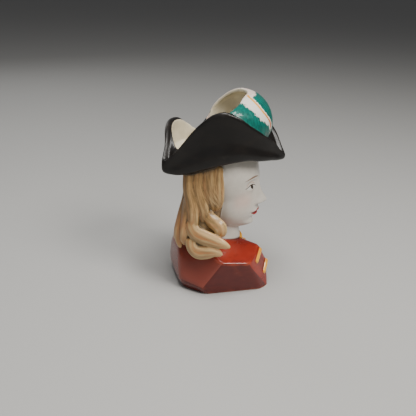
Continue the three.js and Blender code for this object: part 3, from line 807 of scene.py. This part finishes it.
# A plane's lead over the coat's other planes, a cosine over a distance, times the coat's usual distance.
COAT_DISTANCE = 40
# How many mm round a corner its surface is compared with, for small relief and for whole forms.
RELIEF_REACH, FORM_REACH = 3.6, 11


def paint_fields(mesh):
    """What the paint needs at each corner, in mm: for each region how far it is from being another one (the
    least distance to the others less its own), the height of ridges over recesses, the signed distance from
    the quill, and how far the arm cut, the undercut or the back leads the coat's other planes."""
    points = drawn(corner_array(mesh))
    away = np.stack([column_of(mesh, "to_" + name) for name in REGIONS]) / SCALE
    for k, name in enumerate(REGIONS):
        others = np.delete(away, k, axis=0).min(axis=0)
        store(mesh, name, others - away[k])
        mesh.attributes.remove(mesh.attributes["to_" + name])
    normals = np.empty(len(points) * 3)
    mesh.vertex_normals.foreach_get("vector", normals)
    normals = normals.reshape(-1, 3) * [1, -1, 1]
    area = sum(polygon.area for polygon in mesh.polygons)
    edge = (area / len(points)) ** 0.5 / SCALE
    for name, reach in (("relief", RELIEF_REACH), ("form", FORM_REACH)):
        smooth = relaxed(mesh, points, int((reach / edge) ** 2) + 1)
        store(mesh, name, ((points - smooth) * normals).sum(axis=1))
    quill = quill_line()
    nearest = np.full(len(points), 1e9)
    side = np.zeros(len(points))
    along = np.zeros(len(points))
    tangent = np.gradient(quill, axis=0)
    for k, (spot, heading) in enumerate(zip(quill, tangent)):
        gap = points - spot
        distance = (gap * gap).sum(axis=1)
        closer = distance < nearest
        nearest[closer] = distance[closer]
        side[closer] = np.sign(np.cross(heading, gap[closer]) @ np.array([0.0, 0.5, 1.0]))
        along[closer] = k / len(quill)
    store(mesh, "quill", np.sqrt(nearest) * side)
    store(mesh, "quill_along", along)
    facings = coat_facings(turned_with_coat(points, -COAT_TURN) - CHEST)
    for name, chosen in (("arm_cut", ARM_CUTS), ("undercut", UNDERCUTS), ("back", BACKS)):
        lead = facings[list(chosen)].max(axis=0) - np.delete(facings, chosen, axis=0).max(axis=0)
        store(mesh, name, lead * COAT_DISTANCE)


def build_vase(sizes):
    """The vase's mesh object: shells joined and hollowed, then remeshed so that every seam between forms is
    the soft one of a slip casting."""
    fine = 1
    count = lambda number: max(int(number * fine), 8)
    locks = [
        (closed_shell(*lock_points(lock, side, count(44), count(90)))) for lock in LOCKS for side in (1, -1)
    ]
    locks.append(closed_shell(*lock_points(MIDDLE_LOCK, 1, count(44), count(90))))
    beds = [closed_shell(curl_bed_points(side, count(48), count(32))) for side in (1, -1)]
    mass = closed_shell(column_points(HAIR_MASS, count(288), count(70), flutes=0.02))
    wall = sizes.wall * MM / SCALE
    outer = {
        "coat": [closed_shell(coat_points(count(260), count(180)))],
        "gold": [closed_shell(cravat_points(count(64), count(48)))]
        + [closed_shell(braid_points(*bar)) for bar in BRAID_BARS],
        "face": [
            closed_shell(head_points(count(280), count(320))),
            closed_shell(column_points(NECK, count(96), count(40))),
        ],
        "hair": [mass, *beds, *locks],
        "hat": [closed_shell(hat_points(count(360)))],
        "feather": [closed_shell(feather_points(count(96), count(420)))],
    }
    hollow = [
        closed_shell(coat_points(count(120), count(80), inset=wall, floor=FLOOR_THICKNESS)),
        closed_shell(column_points(THROAT, count(60), count(40), inset=wall)),
        closed_shell(column_points(HAIR_MASS, count(80), count(50), inset=wall)),
        closed_shell(head_hollow_points(count(80), count(60), wall + 2.4)),
        closed_shell(hat_hollow_points(count(240), wall)),
    ]
    vase = new_object("vase", outer["coat"])
    rest = [shell for name, shells in outer.items() if name != "coat" for shell in shells]
    carve(vase, "UNION", rest, "forms")
    carve(vase, "DIFFERENCE", hollow, "hollow")
    remesh = vase.modifiers.new("casting", "REMESH")
    remesh.mode = "VOXEL"
    remesh.voxel_size = sizes.grain / fine
    settle(vase)
    mesh = vase.data
    points = relaxed(mesh, corner_array(mesh), sizes.softness)
    mesh.vertices.foreach_set("co", points.ravel())
    mesh.update()
    triangles = sum(len(polygon.vertices) - 2 for polygon in mesh.polygons)
    if triangles > TRIANGLE_LIMIT:
        fewer = vase.modifiers.new("fewer", "DECIMATE")
        fewer.ratio = TRIANGLE_LIMIT / triangles
        settle(vase)
    outer["inside"] = hollow
    regions = {name: new_object("region_" + name, shells) for name, shells in outer.items()}
    measured(vase, regions, regions["hair"])
    for region in regions.values():
        mesh = region.data
        bpy.data.objects.remove(region)
        bpy.data.meshes.remove(mesh)
    paint_fields(vase.data)
    vase.data.polygons.foreach_set("use_smooth", np.ones(len(vase.data.polygons), dtype=bool))
    vase.data.update()
    return vase


# Paint.


class Wire:
    """A value's socket in a shader: arithmetic on it adds the Math nodes that work it out."""

    def __init__(self, recipe, socket):
        self.recipe = recipe
        self.socket = socket

    def maths(self, operation, *others, flip=False):
        """A Math node on this value and others."""
        values = (*others, self) if flip else (self, *others)
        return self.recipe.node("ShaderNodeMath", {"operation": operation}, dict(enumerate(values)))

    def __add__(self, other):
        return self.maths("ADD", other)

    __radd__ = __add__

    def __sub__(self, other):
        return self.maths("SUBTRACT", other)

    def __rsub__(self, other):
        return self.maths("SUBTRACT", other, flip=True)

    def __mul__(self, other):
        return self.maths("MULTIPLY", other)

    __rmul__ = __mul__

    def __truediv__(self, other):
        return self.maths("DIVIDE", other)

    def __pow__(self, other):
        return self.maths("POWER", other)

    def __neg__(self):
        return self.maths("MULTIPLY", -1.0)

    def __abs__(self):
        return self.maths("ABSOLUTE")

    def most(self, other):
        """The greater of two values."""
        return self.maths("MAXIMUM", other)

    def rising(self, start, end):
        """0 before start, 1 after end, smooth between."""
        settings = {"interpolation_type": "SMOOTHSTEP"}
        sockets = {"Value": self, "From Min": start, "From Max": end, "To Min": 0.0, "To Max": 1.0}
        return self.recipe.node("ShaderNodeMapRange", settings, sockets, "Result")

    def bell(self, middle, spread):
        """exp(-((value - middle) / spread)^2)."""
        ratio = (self - middle) / spread
        return self.recipe.node("ShaderNodeMath", {"operation": "POWER"}, {0: 2.718282, 1: -(ratio * ratio)})


class Recipe:
    """A material's nodes, added one call at a time."""

    def __init__(self, name):
        self.material = bpy.data.materials.new(name)
        self.material.use_nodes = True
        self.tree = self.material.node_tree
        self.shader = self.tree.nodes["Principled BSDF"]

    def node(self, kind, settings=None, sockets=None, output=0):
        """A node of a kind: its settings first, then its sockets' values or links. Gives one output."""
        node = self.tree.nodes.new(kind)
        for name, value in (settings or {}).items():
            setattr(node, name, value)
        for name, value in (sockets or {}).items():
            self.feed(node.inputs[name], value)
        return Wire(self, node.outputs[output])

    def feed(self, socket, value):
        """Links a wire into a socket, or sets the socket's own value."""
        if isinstance(value, Wire):
            self.tree.links.new(value.socket, socket)
        else:
            socket.default_value = value

    def mix(self, factor, first, second, blend="MIX"):
        """Two colours mixed by a factor."""
        settings = {"data_type": "RGBA", "blend_type": blend, "clamp_factor": True}
        return self.node("ShaderNodeMix", settings, {0: factor, 6: first, 7: second}, 2)

    def field(self, name):
        """A number kept at each corner of the mesh."""
        settings = {"attribute_type": "GEOMETRY", "attribute_name": name}
        return self.node("ShaderNodeAttribute", settings, output="Fac")

    def noise(self, vector, scale, detail=3.0, roughness=0.55):
        """Noise between 0 and 1 on a vector."""
        sockets = {"Vector": vector, "Scale": scale, "Detail": detail, "Roughness": roughness}
        return self.node("ShaderNodeTexNoise", None, sockets, 0)

    def strokes(self, vector, turn, stretch, scale, detail=4.0, roughness=0.6):
        """Noise drawn out like brush strokes: its vector is turned and stretched first."""
        sockets = {"Vector": vector, "Rotation": turn, "Scale": stretch}
        return self.noise(self.node("ShaderNodeMapping", None, sockets), scale, detail, roughness)

    def joined(self, x, y, z):
        """Three values as a vector."""
        return self.node("ShaderNodeCombineXYZ", None, {0: x, 1: y, 2: z})


def region_masks(recipe, wobble):
    """A mask for each painted region, its border drawn by an unsteady brush."""
    masks = {}
    for name, reach in (("hair", 0.1), ("coat", 0.0), ("gold", 0.0), ("hat", 0.1), ("feather", 0.1)):
        masks[name] = (recipe.field(name) + wobble * 0.5 + reach).rising(-0.22, 0.22)
    return masks


def face_paint(recipe, colours, left, forward, up, wobble):
    """Bare glazed porcelain with a blush, thin brows, lash lines, eyes and lips, all drawn as curves in side
    distance and height."""
    side = abs(left)
    front = forward.rising(14, 20)
    porcelain = recipe.mix(wobble.rising(-0.5, 0.5), colours.porcelain, colours.porcelain_shade)
    blush = side.bell(15.5, 6.0) * up.bell(71.5, 6.5) * front * 0.34
    skin = recipe.mix(blush, porcelain, colours.blush)
    reach = (side - EYE_SIDE) / 5.6
    arch = 1 - reach * reach
    open_eye = arch.most(0.0)
    upper = up - (open_eye * 1.9 + (EYE_HEIGHT - 0.35))
    lower = up - (EYE_HEIGHT - 0.5 - open_eye * 1.0)
    within = arch.rising(0.0, 0.08) * front
    white = upper.rising(0.12, -0.12) * lower.rising(-0.12, 0.12) * within
    skin = recipe.mix(white, skin, colours.eye_white)
    beside, over = side - EYE_SIDE + 0.2, up - EYE_HEIGHT - 0.2
    iris_gap = (beside * beside + over * over) ** 0.5
    iris = iris_gap.rising(1.95, 1.7) * white
    skin = recipe.mix(iris, skin, colours.iris)
    skin = recipe.mix(iris_gap.rising(0.95, 0.75) * white, skin, (0.008, 0.006, 0.005, 1))
    lash = abs(upper).rising(0.42, 0.22) * (abs(reach)).rising(1.12, 1.0) * front
    skin = recipe.mix(lash, skin, colours.lash)
    crease_line = up - (open_eye * 2.5 + (EYE_HEIGHT + 1.0))
    crease = abs(crease_line).rising(0.36, 0.14) * abs(reach).rising(1.0, 0.8) * front * 0.75
    skin = recipe.mix(crease, skin, colours.lid_line)
    brow_reach = (side - 11.2) / 7.6
    brow_line = abs(up - (BROW + 1.4 - brow_reach * brow_reach * 1.7 - brow_reach * 0.5))
    brow_half = (1 - brow_reach * brow_reach) * 0.75
    brow = (brow_line - brow_half + wobble * 0.2).rising(0.16, -0.16)
    brow = brow * abs(brow_reach).rising(1.0, 0.9) * front
    skin = recipe.mix(brow * 0.85, skin, colours.brow)
    along = side / MOUTH_HALF
    full = (1 - along * along).most(0.0)
    bow = side.bell(0.0, 1.3) * 0.7
    top_edge = up - (MOUTH_LINE + 0.1 + full * 2.9 - bow)
    low_edge = up - (MOUTH_LINE - 0.1 - full * 3.3)
    lips = (top_edge + wobble * 0.2).rising(0.2, -0.2) * (low_edge + wobble * 0.2).rising(-0.2, 0.2)
    lips = lips * along.rising(1.0, 0.96) * front
    lip_colour = recipe.mix(abs(up - MOUTH_LINE).rising(0.1, 1.4), colours.lips_dark, colours.lips)
    return recipe.mix(lips, skin, lip_colour)


def hair_paint(recipe, colours, left, forward, up, relief, form):
    """Tan with brushed strands, short slanting strokes on the pad beside the face, and olive brown in the
    hollows between locks, where painted shade lies over the darker wash. Highlights are painted on the
    ridges, a warmer painted shade over the back locks, and the curls are lighter with a touch of orange."""
    strand = recipe.node("ShaderNodeAttribute", {"attribute_name": "strand"}, output="Vector")
    stretched = recipe.node(
        "ShaderNodeMapping", {"vector_type": "POINT"}, {"Vector": strand, "Scale": (1.0, 1.0, 0.11)}
    )
    streaks = recipe.noise(stretched, 1.1, 4.0, 0.62)
    broad = recipe.noise(stretched, 0.35, 2.0)
    colour = recipe.mix(streaks.rising(0.35, 0.68), colours.hair_shade, colours.hair)
    curls = up.rising(66.0, 52.0)
    colour = recipe.mix(curls * 0.45, colour, colours.hair_pale_and_highlight)
    colour = recipe.mix(broad.rising(0.48, 0.66) * (curls * 0.5 + 0.3), colour, colours.hair_warm_and_shade)
    slant = recipe.noise(recipe.joined(forward * 1.1 + up * 0.62, up * 0.1, left * 0.1), 1.0, 3.0)
    on_pad = forward.bell(4.5, 6.5) * up.bell(73.0, 9.0)
    colour = recipe.mix(slant.rising(0.5, 0.62) * on_pad * 0.8, colour, colours.hair_shadow_and_strokes)
    colour = recipe.mix(slant.rising(0.46, 0.38) * on_pad * 0.7, colour, colours.hair_pale_and_highlight)
    # Painted shade: the back locks are warmer and darker.
    rear = forward.rising(-11.0, -19.0) * up.rising(68.0, 56.0)
    colour = recipe.mix(rear * 0.6, colour, colours.hair_warm_and_shade)
    # Painted highlight on the ridges of the locks.
    light = relief.rising(0.08, 0.35)
    colour = recipe.mix(light * 0.55, colour, colours.hair_pale_and_highlight)
    # Painted shade in the hollows between locks, over the darker wash that pools there.
    depth = (relief + (streaks - 0.5) * 0.2).rising(0.02, -0.34)
    colour = recipe.mix(depth * 0.85, colour, colours.hair_shadow_and_strokes)
    # Painted shade in the deeper recesses between the hair's forms.
    deep = (form + (streaks - 0.5) * 0.6).rising(-0.1, -1.5)
    return recipe.mix(deep * 0.7, colour, colours.hair_shadow_and_strokes), streaks


def coat_paint(recipe, colours, position, relief):
    """Red glaze that pools dark in recesses, with painted shade there too. It thins to orange over edges,
    with a painted highlight there too, has a painted brownish sheen over the back, and is darkest, in painted
    shade, on the arm cuts and undercuts."""
    strokes = recipe.strokes(position, (0.5, 0.2, 0.4), (1.0, 1.0, 3.0), 85.0)
    patches = recipe.noise(position, 38.0, 2.0)
    colour = recipe.mix(patches.rising(0.35, 0.7), colours.coat, colours.coat_light)
    colour = recipe.mix(strokes.rising(0.5, 0.75) * 0.5, colour, colours.coat_dark_and_shade)
    # Painted sheen: the back planes are brownish and lighter, as if reflecting the room.
    back = (recipe.field("back") + (patches - 0.5) * 0.06).rising(-0.03, 0.04)
    colour = recipe.mix(back * 0.85, colour, colours.coat_back_sheen)
    # Painted shade: the arm cuts, turned away from the light, are darkest.
    cut = (recipe.field("arm_cut") + (strokes - 0.5) * 0.05).rising(-0.02, 0.03)
    colour = recipe.mix(cut * (1.1 - strokes * 0.5), colour, colours.coat_dark_and_shade)
    # Painted shade on the undercuts, which face down.
    under = recipe.field("undercut").rising(-0.03, 0.03)
    colour = recipe.mix(under * 0.8, colour, colours.coat_dark_and_shade)
    # Lighter over edges: the glaze is thinner there, and a highlight is painted there.
    edge = (relief + (strokes - 0.5) * 0.12).rising(0.16, 0.42)
    colour = recipe.mix(edge * 0.4, colour, colours.coat_edge_and_highlight)
    # Darker in recesses: pooled glaze, and painted shade.
    pooled = (relief + (strokes - 0.5) * 0.1).rising(-0.05, -0.35)
    return recipe.mix(pooled * 0.8, colour, colours.coat_dark_and_shade), strokes


def gold_paint(recipe, colours, position):
    """Yellow braid, orange towards its borders."""
    border = recipe.field("gold").rising(0.9, 0.15)
    mottle = recipe.noise(position, 260.0, 2.0)
    colour = recipe.mix(mottle.rising(0.35, 0.75) * 0.4, colours.gold, colours.gold_deep)
    return recipe.mix(border * 0.8, colour, colours.gold_deep)


def hat_paint(recipe, colours, position, relief):
    """Near black, brown where the brush was thin, and greyer over its ridges and edge as a painted highlight.
    """
    strokes = recipe.strokes(position, (0.0, 0.5, 0.0), (1.0, 1.0, 2.5), 60.0)
    colour = recipe.mix(strokes.rising(0.4, 0.75) * 0.6, colours.hat, colours.hat_thin)
    # Painted highlight: the hat's ridges and edge are greyer.
    worn = (relief + (strokes - 0.5) * 0.4).rising(0.18, 0.55)
    return recipe.mix(worn * 0.4, colour, colours.hat_edge_highlight), strokes


def feather_paint(recipe, colours, position):
    """Teal barbs laid on white in ragged strokes, and a yellow and orange quill."""
    quill = recipe.field("quill")
    along = recipe.field("quill_along")
    strokes = recipe.strokes(position, (0.3, -0.5, 0.5), (1.6, 1.6, 0.35), 420.0, 2.0, 0.7)
    ragged = (strokes - 0.5) * 7.0
    near_edge = along.rising(0.0, 0.42) * 8.0 - along.rising(0.5, 0.62) * 5.0 + 2.6
    far_edge = along.rising(0.4, 0.55) * 3.0 - along.rising(0.7, 0.82) * 4.0 + 2.2
    near = (-quill + ragged - near_edge).rising(0.6, -0.6)
    far = (quill + ragged * 0.5 - far_edge).rising(0.4, -0.4)
    white = near * far
    teal = recipe.mix(strokes.rising(0.35, 0.7) * 0.7, colours.teal, colours.teal_dark)
    colour = recipe.mix(white, teal, colours.porcelain)
    tint = white * along.rising(0.42, 0.5) * strokes.rising(0.4, 0.6) * 0.5
    colour = recipe.mix(tint, colour, colours.blush)
    line = (abs(quill) + (strokes - 0.5) * 0.5).rising(1.05, 0.75) * along.rising(0.54, 0.47)
    border = abs(quill).rising(0.35, 0.85).most(along.rising(0.34, 0.05))
    quill_colour = recipe.mix(border, colours.gold, colours.quill_end)
    return recipe.mix(line, colour, quill_colour), strokes


def paint_vase(vase, colours, finish):
    """The glazed and painted surface: every region's colour under one clear glaze."""
    recipe = Recipe("painted_porcelain")
    place = recipe.node("ShaderNodeTexCoord", None, None, "Object")
    split = recipe.tree.nodes.new("ShaderNodeSeparateXYZ")
    recipe.feed(split.inputs[0], place)
    x, y, z = (Wire(recipe, split.outputs[k]) for k in range(3))
    left, forward, up = (x - ORIGIN_X) / SCALE, (ORIGIN_Y - y) / SCALE, z / SCALE
    relief, form = recipe.field("relief"), recipe.field("form")
    wobble = recipe.noise(place, 300.0, 3.0) - 0.5
    masks = region_masks(recipe, wobble)
    colour = face_paint(recipe, colours, left, forward, up, wobble)
    # Painted shade on the neck where it meets the coat.
    seam = recipe.field("coat").rising(-1.3, -0.2)
    colour = recipe.mix(seam * 0.7, colour, colours.coat_dark_and_shade)
    hair, streaks = hair_paint(recipe, colours, left, forward, up, relief, form)
    coat, coat_strokes = coat_paint(recipe, colours, place, relief)
    hat, hat_strokes = hat_paint(recipe, colours, place, relief)
    feather, barbs = feather_paint(recipe, colours, place)
    gold = gold_paint(recipe, colours, place)
    colour = recipe.mix(masks["hair"], colour, hair)
    colour = recipe.mix(masks["coat"], colour, coat)
    colour = recipe.mix(masks["gold"], colour, gold)
    colour = recipe.mix(masks["hat"], colour, hat)
    colour = recipe.mix(masks["feather"], colour, feather)
    inside = (recipe.field("inside") + wobble * 0.6).rising(-0.2, 0.2)
    clouds = recipe.noise(place, 90.0, 3.0).rising(0.35, 0.7)
    bisque = recipe.mix(clouds, colours.bisque, colours.bisque_shade)
    colour = recipe.mix(inside, colour, bisque)
    foot = up.rising(0.5, 0.2)
    colour = recipe.mix(foot, colour, colours.bisque_shade)
    shader = recipe.shader
    recipe.feed(shader.inputs["Base Color"], colour)
    rough = finish.glaze_roughness + masks["hair"] * 0.2 + masks["hat"] * (0.12 + (hat_strokes - 0.5) * 0.12)
    rough = rough + masks["feather"] * 0.14 + masks["coat"] * (coat_strokes - 0.4) * 0.2 + inside * 0.25
    recipe.feed(shader.inputs["Roughness"], (rough + foot * 0.4).most(0.05))
    recipe.feed(shader.inputs["Coat Weight"], (1.0 - masks["hat"] * 0.85) * finish.glaze)
    ripple = recipe.noise(place, 130.0, 2.0) * 0.6 + streaks * masks["hair"] * 1.4
    ripple = ripple + coat_strokes * masks["coat"] * 0.5 + barbs * masks["feather"] * 0.6
    bump = recipe.node(
        "ShaderNodeBump", None, {"Strength": finish.brush_marks, "Distance": 0.0004, "Height": ripple}
    )
    recipe.feed(shader.inputs["Normal"], bump)
    shader.inputs["Specular IOR Level"].default_value = 0.3
    shader.inputs["Coat Roughness"].default_value = 0.09
    vase.data.materials.clear()
    vase.data.materials.append(recipe.material)


# Settings.


def colour_setting(name, description, colour):
    """A colour property in linear light."""
    return bpy.props.FloatVectorProperty(
        name=name, description=description, subtype="COLOR", size=4, min=0, max=1, default=(*colour, 1)
    )


def share_setting(name, description, share):
    """A setting that holds a share from 0 to 1."""
    return bpy.props.FloatProperty(
        name=name, description=description, default=share, min=0, max=1, subtype="FACTOR"
    )


def angle_setting(name, description, degrees):
    """A setting that holds an angle."""
    return bpy.props.FloatProperty(
        name=name, description=description, default=np.radians(degrees), subtype="ANGLE"
    )


class VaseSizes(bpy.types.PropertyGroup):
    """Sizes of the casting."""

    wall: bpy.props.FloatProperty(
        name="Wall", description="Thickness of the porcelain in millimetres", default=3.6, min=2, max=6
    )
    grain: bpy.props.FloatProperty(
        name="Grain",
        description="Size of the smallest form that the mesh keeps",
        default=0.00055,
        min=0.0003,
        max=0.003,
        unit="LENGTH",
        precision=5,
    )
    softness: bpy.props.IntProperty(
        name="Softness", description="How often seams and edges are smoothed", default=4, min=0, max=20
    )


class VaseColours(bpy.types.PropertyGroup):
    """The paint's colours."""

    porcelain: colour_setting("Porcelain", "Bare glazed porcelain", (0.66, 0.62, 0.55))
    porcelain_shade: colour_setting(
        "Porcelain shade", "Porcelain where the glaze is thick", (0.6, 0.56, 0.49)
    )
    blush: colour_setting("Blush", "Cheeks", (0.72, 0.36, 0.27))
    eye_white: colour_setting("Eye white", "White of the eyes", (0.7, 0.68, 0.62))
    iris: colour_setting("Iris", "Iris of the eyes", (0.05, 0.028, 0.015))
    lash: colour_setting("Lash line", "Line along the upper lid", (0.045, 0.025, 0.015))
    lid_line: colour_setting("Lid line", "Thin line in the lid's crease", (0.42, 0.16, 0.07))
    brow: colour_setting("Brow", "Eyebrows", (0.17, 0.075, 0.03))
    lips: colour_setting("Lips", "Lips", (0.36, 0.03, 0.03))
    lips_dark: colour_setting("Lip parting", "Line between the lips", (0.13, 0.01, 0.012))
    hair: colour_setting("Hair", "Locks", (0.38, 0.225, 0.09))
    hair_shade: colour_setting("Hair shade", "Strokes between strands", (0.2, 0.118, 0.045))
    # Hair warm is the orange strokes on the curls, and also the painted shade over the back locks.
    hair_warm_and_shade: colour_setting("Hair warm", "Orange strokes on the curls", (0.42, 0.165, 0.055))
    # Hair light is the paler paint of the lower curls and the pad's strokes, and the painted highlight on the
    # ridges.
    hair_pale_and_highlight: colour_setting("Hair light", "Ridges of the locks", (0.62, 0.43, 0.2))
    # Hair recess is painted shade in the hollows, over the darker wash there, and the dark strokes on the
    # pad.
    hair_shadow_and_strokes: colour_setting("Hair recess", "Hollows between the locks", (0.07, 0.043, 0.014))
    coat: colour_setting("Coat", "Coat", (0.22, 0.017, 0.008))
    coat_light: colour_setting("Coat light", "Coat where the glaze is thin", (0.29, 0.03, 0.014))
    # Coat back is a painted sheen of reflected light over the back.
    coat_back_sheen: colour_setting("Coat back", "Coat over the back", (0.24, 0.05, 0.032))
    # Coat dark is the dark brush strokes and pooled glaze, and also the painted shade on the arm cuts, the
    # undercuts, in recesses and where the neck meets the coat.
    coat_dark_and_shade: colour_setting("Coat dark", "Arm cuts and pooled glaze", (0.075, 0.006, 0.004))
    # Coat edge is glaze thinned over edges and a painted highlight there.
    coat_edge_and_highlight: colour_setting("Coat edge", "Glaze worn thin over edges", (0.45, 0.08, 0.03))
    gold: colour_setting("Braid", "Braid and cravat", (0.78, 0.38, 0.022))
    gold_deep: colour_setting("Braid border", "Borders of the braid", (0.62, 0.17, 0.015))
    hat: colour_setting("Hat", "Hat", (0.006, 0.005, 0.0045))
    hat_thin: colour_setting("Hat thin", "Hat where the brush was thin", (0.012, 0.009, 0.007))
    # The hat's edge colour is a painted highlight on its ridges and edge.
    hat_edge_highlight: colour_setting("Hat edge", "The hat's worn edge", (0.07, 0.06, 0.05))
    teal: colour_setting("Feather", "The feather's barbs", (0.0, 0.13, 0.1))
    teal_dark: colour_setting("Feather dark", "Darker strokes on the feather", (0.0, 0.05, 0.042))
    quill_end: colour_setting("Quill end", "The quill towards its tip", (0.45, 0.1, 0.02))
    bisque: colour_setting("Inside", "The inside's glaze", (0.68, 0.62, 0.47))
    bisque_shade: colour_setting("Inside shade", "Darker places inside", (0.58, 0.52, 0.38))


class VaseFinish(bpy.types.PropertyGroup):
    """The glaze."""

    glaze: share_setting("Glaze", "Weight of the clear glaze", 0.35)
    glaze_roughness: share_setting("Roughness", "Roughness of the paint under the glaze", 0.22)
    brush_marks: share_setting("Brush marks", "How much the paint's strokes stand out", 0.25)


class StudioSettings(bpy.types.PropertyGroup):
    """The floor, the lights and the camera."""

    floor: colour_setting("Floor", "The floor", (0.38, 0.38, 0.37))
    world: colour_setting("Surroundings", "Light from all round", (0.42, 0.42, 0.43))
    world_light: bpy.props.FloatProperty(
        name="Surrounding light",
        description="Strength of the light from all round",
        default=0.25,
        min=0,
        max=5,
    )
    lens: bpy.props.FloatProperty(
        name="Lens", description="Focal length of the camera", default=51.92, min=10, max=200, unit="CAMERA"
    )
    camera_place: bpy.props.FloatVectorProperty(
        name="Camera",
        description="Where the camera is",
        default=(-0.4318, -0.0720, 0.2343),
        subtype="TRANSLATION",
        unit="LENGTH",
    )
    azimuth: angle_setting("Azimuth", "Direction the camera looks from", -79)
    pitch: angle_setting("Pitch", "How far the camera looks down", 22)
    roll: angle_setting("Roll", "How far the camera leans", 2)


# Operators.


class HEADVASE_OT_vase(bpy.types.Operator):
    """Build the hollow, painted vase in place of its CAD solid"""

    bl_idname = "head_vase.vase"
    bl_label = "Vase"

    def execute(self, context):
        """Draws, joins, hollows, smooths and paints the vase."""
        scene = context.scene
        vase = build_vase(scene.head_vase_sizes)
        if not vase.data.polygons:
            raise RuntimeError("the vase came out empty")
        paint_vase(vase, scene.head_vase_colours, scene.head_vase_finish)
        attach(vase, "root")
        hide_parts(NODE)
        return {"FINISHED"}


FLOOR_REACH = 6.0
LIT_MIDDLE = (0, 0, 0.08)
# Name, place and width in metres, power in watts, colour.
LIGHTS = [
    ("key", (-0.35, -0.6, 0.75), 0.35, 8, (1, 0.96, 0.91)),
    ("overhead", (-0.15, -0.05, 0.9), 0.4, 9.5, (1, 0.98, 0.95)),
    ("fill", (-0.9, 0.1, 0.4), 0.7, 0.8, (0.94, 0.97, 1)),
    ("rear", (0.6, 0.6, 0.6), 0.6, 1.5, (1, 1, 1)),
]


def soft_light(name, place, size, power, colour):
    """A square area light that looks from a place at the middle of the vase."""
    light = bpy.data.lights.new(name, "AREA")
    light.size = size
    light.energy = power
    light.color = colour
    lamp = bpy.data.objects.new(name, light)
    lamp.location = place
    lamp.rotation_euler = (Vector(LIT_MIDDLE) - Vector(place)).to_track_quat("-Z", "Y").to_euler()
    bpy.context.scene.collection.objects.link(lamp)


class HEADVASE_OT_stage(bpy.types.Operator):
    """Add the pale floor, the studio lights and the camera"""

    bl_idname = "head_vase.stage"
    bl_label = "Floor, lights and camera"

    def execute(self, context):
        """Sets up the floor, the lights and the camera."""
        studio = context.scene.head_vase_studio
        mesh = bpy.data.meshes.new("floor")
        corners = [(x * FLOOR_REACH, y * FLOOR_REACH, 0) for x, y in ((-1, -1), (1, -1), (1, 1), (-1, 1))]
        mesh.from_pydata(corners, [], [(0, 1, 2, 3)])
        floor = bpy.data.objects.new("floor", mesh)
        context.scene.collection.objects.link(floor)
        recipe = Recipe("pale_floor")
        recipe.feed(recipe.shader.inputs["Base Color"], tuple(studio.floor))
        recipe.shader.inputs["Roughness"].default_value = 0.6
        mesh.materials.append(recipe.material)
        world = bpy.data.worlds.new("studio")
        world.use_nodes = True
        background = world.node_tree.nodes["Background"]
        background.inputs["Color"].default_value = studio.world
        background.inputs["Strength"].default_value = studio.world_light
        context.scene.world = world
        for light in LIGHTS:
            soft_light(*light)
        camera = bpy.data.cameras.new("camera")
        camera.lens = studio.lens
        camera.sensor_width = 36
        camera.clip_start = 0.01
        eye = bpy.data.objects.new("camera", camera)
        azimuth, pitch, roll = studio.azimuth, studio.pitch, studio.roll
        back = Vector((np.sin(azimuth) * np.cos(pitch), -np.cos(azimuth) * np.cos(pitch), np.sin(pitch)))
        right = (-back).cross(Vector((0, 0, 1))).normalized()
        above = right.cross(-back)
        leaning_right = right * np.cos(roll) + above * np.sin(roll)
        leaning_up = above * np.cos(roll) - right * np.sin(roll)
        turned = Matrix((leaning_right, leaning_up, back)).transposed().to_4x4()
        eye.matrix_world = Matrix.Translation(studio.camera_place) @ turned
        context.scene.collection.objects.link(eye)
        context.scene.camera = eye
        return {"FINISHED"}


class HEADVASE_PT_panel(bpy.types.Panel):
    """Lists the vase's steps and settings"""

    bl_label = "Head Vase"
    bl_idname = "HEADVASE_PT_panel"
    bl_space_type = "VIEW_3D"
    bl_region_type = "UI"
    bl_category = "Head Vase"

    def draw(self, context):
        """Lists the settings and the buttons."""
        for operator in (HEADVASE_OT_vase, HEADVASE_OT_stage):
            self.layout.operator(operator.bl_idname)
        for name in SETTINGS:
            group = getattr(context.scene, name)
            box = self.layout.box()
            for key in group.__annotations__:
                box.prop(group, key)


SETTINGS = {
    "head_vase_sizes": VaseSizes,
    "head_vase_colours": VaseColours,
    "head_vase_finish": VaseFinish,
    "head_vase_studio": StudioSettings,
}
CLASSES = (*SETTINGS.values(), HEADVASE_OT_vase, HEADVASE_OT_stage, HEADVASE_PT_panel)


def register():
    """Adds the classes and the settings."""
    for cls in CLASSES:
        bpy.utils.register_class(cls)
    for name, group in SETTINGS.items():
        setattr(bpy.types.Scene, name, bpy.props.PointerProperty(type=group))


def unregister():
    """Takes them out again, last first."""
    for name in SETTINGS:
        delattr(bpy.types.Scene, name)
    for cls in reversed(CLASSES):
        bpy.utils.unregister_class(cls)


def main():
    """Builds everything."""
    register()
    bpy.ops.head_vase.stage()
    bpy.ops.head_vase.vase()
    bpy.context.view_layer.update()


if __name__ == "__main__":
    main()
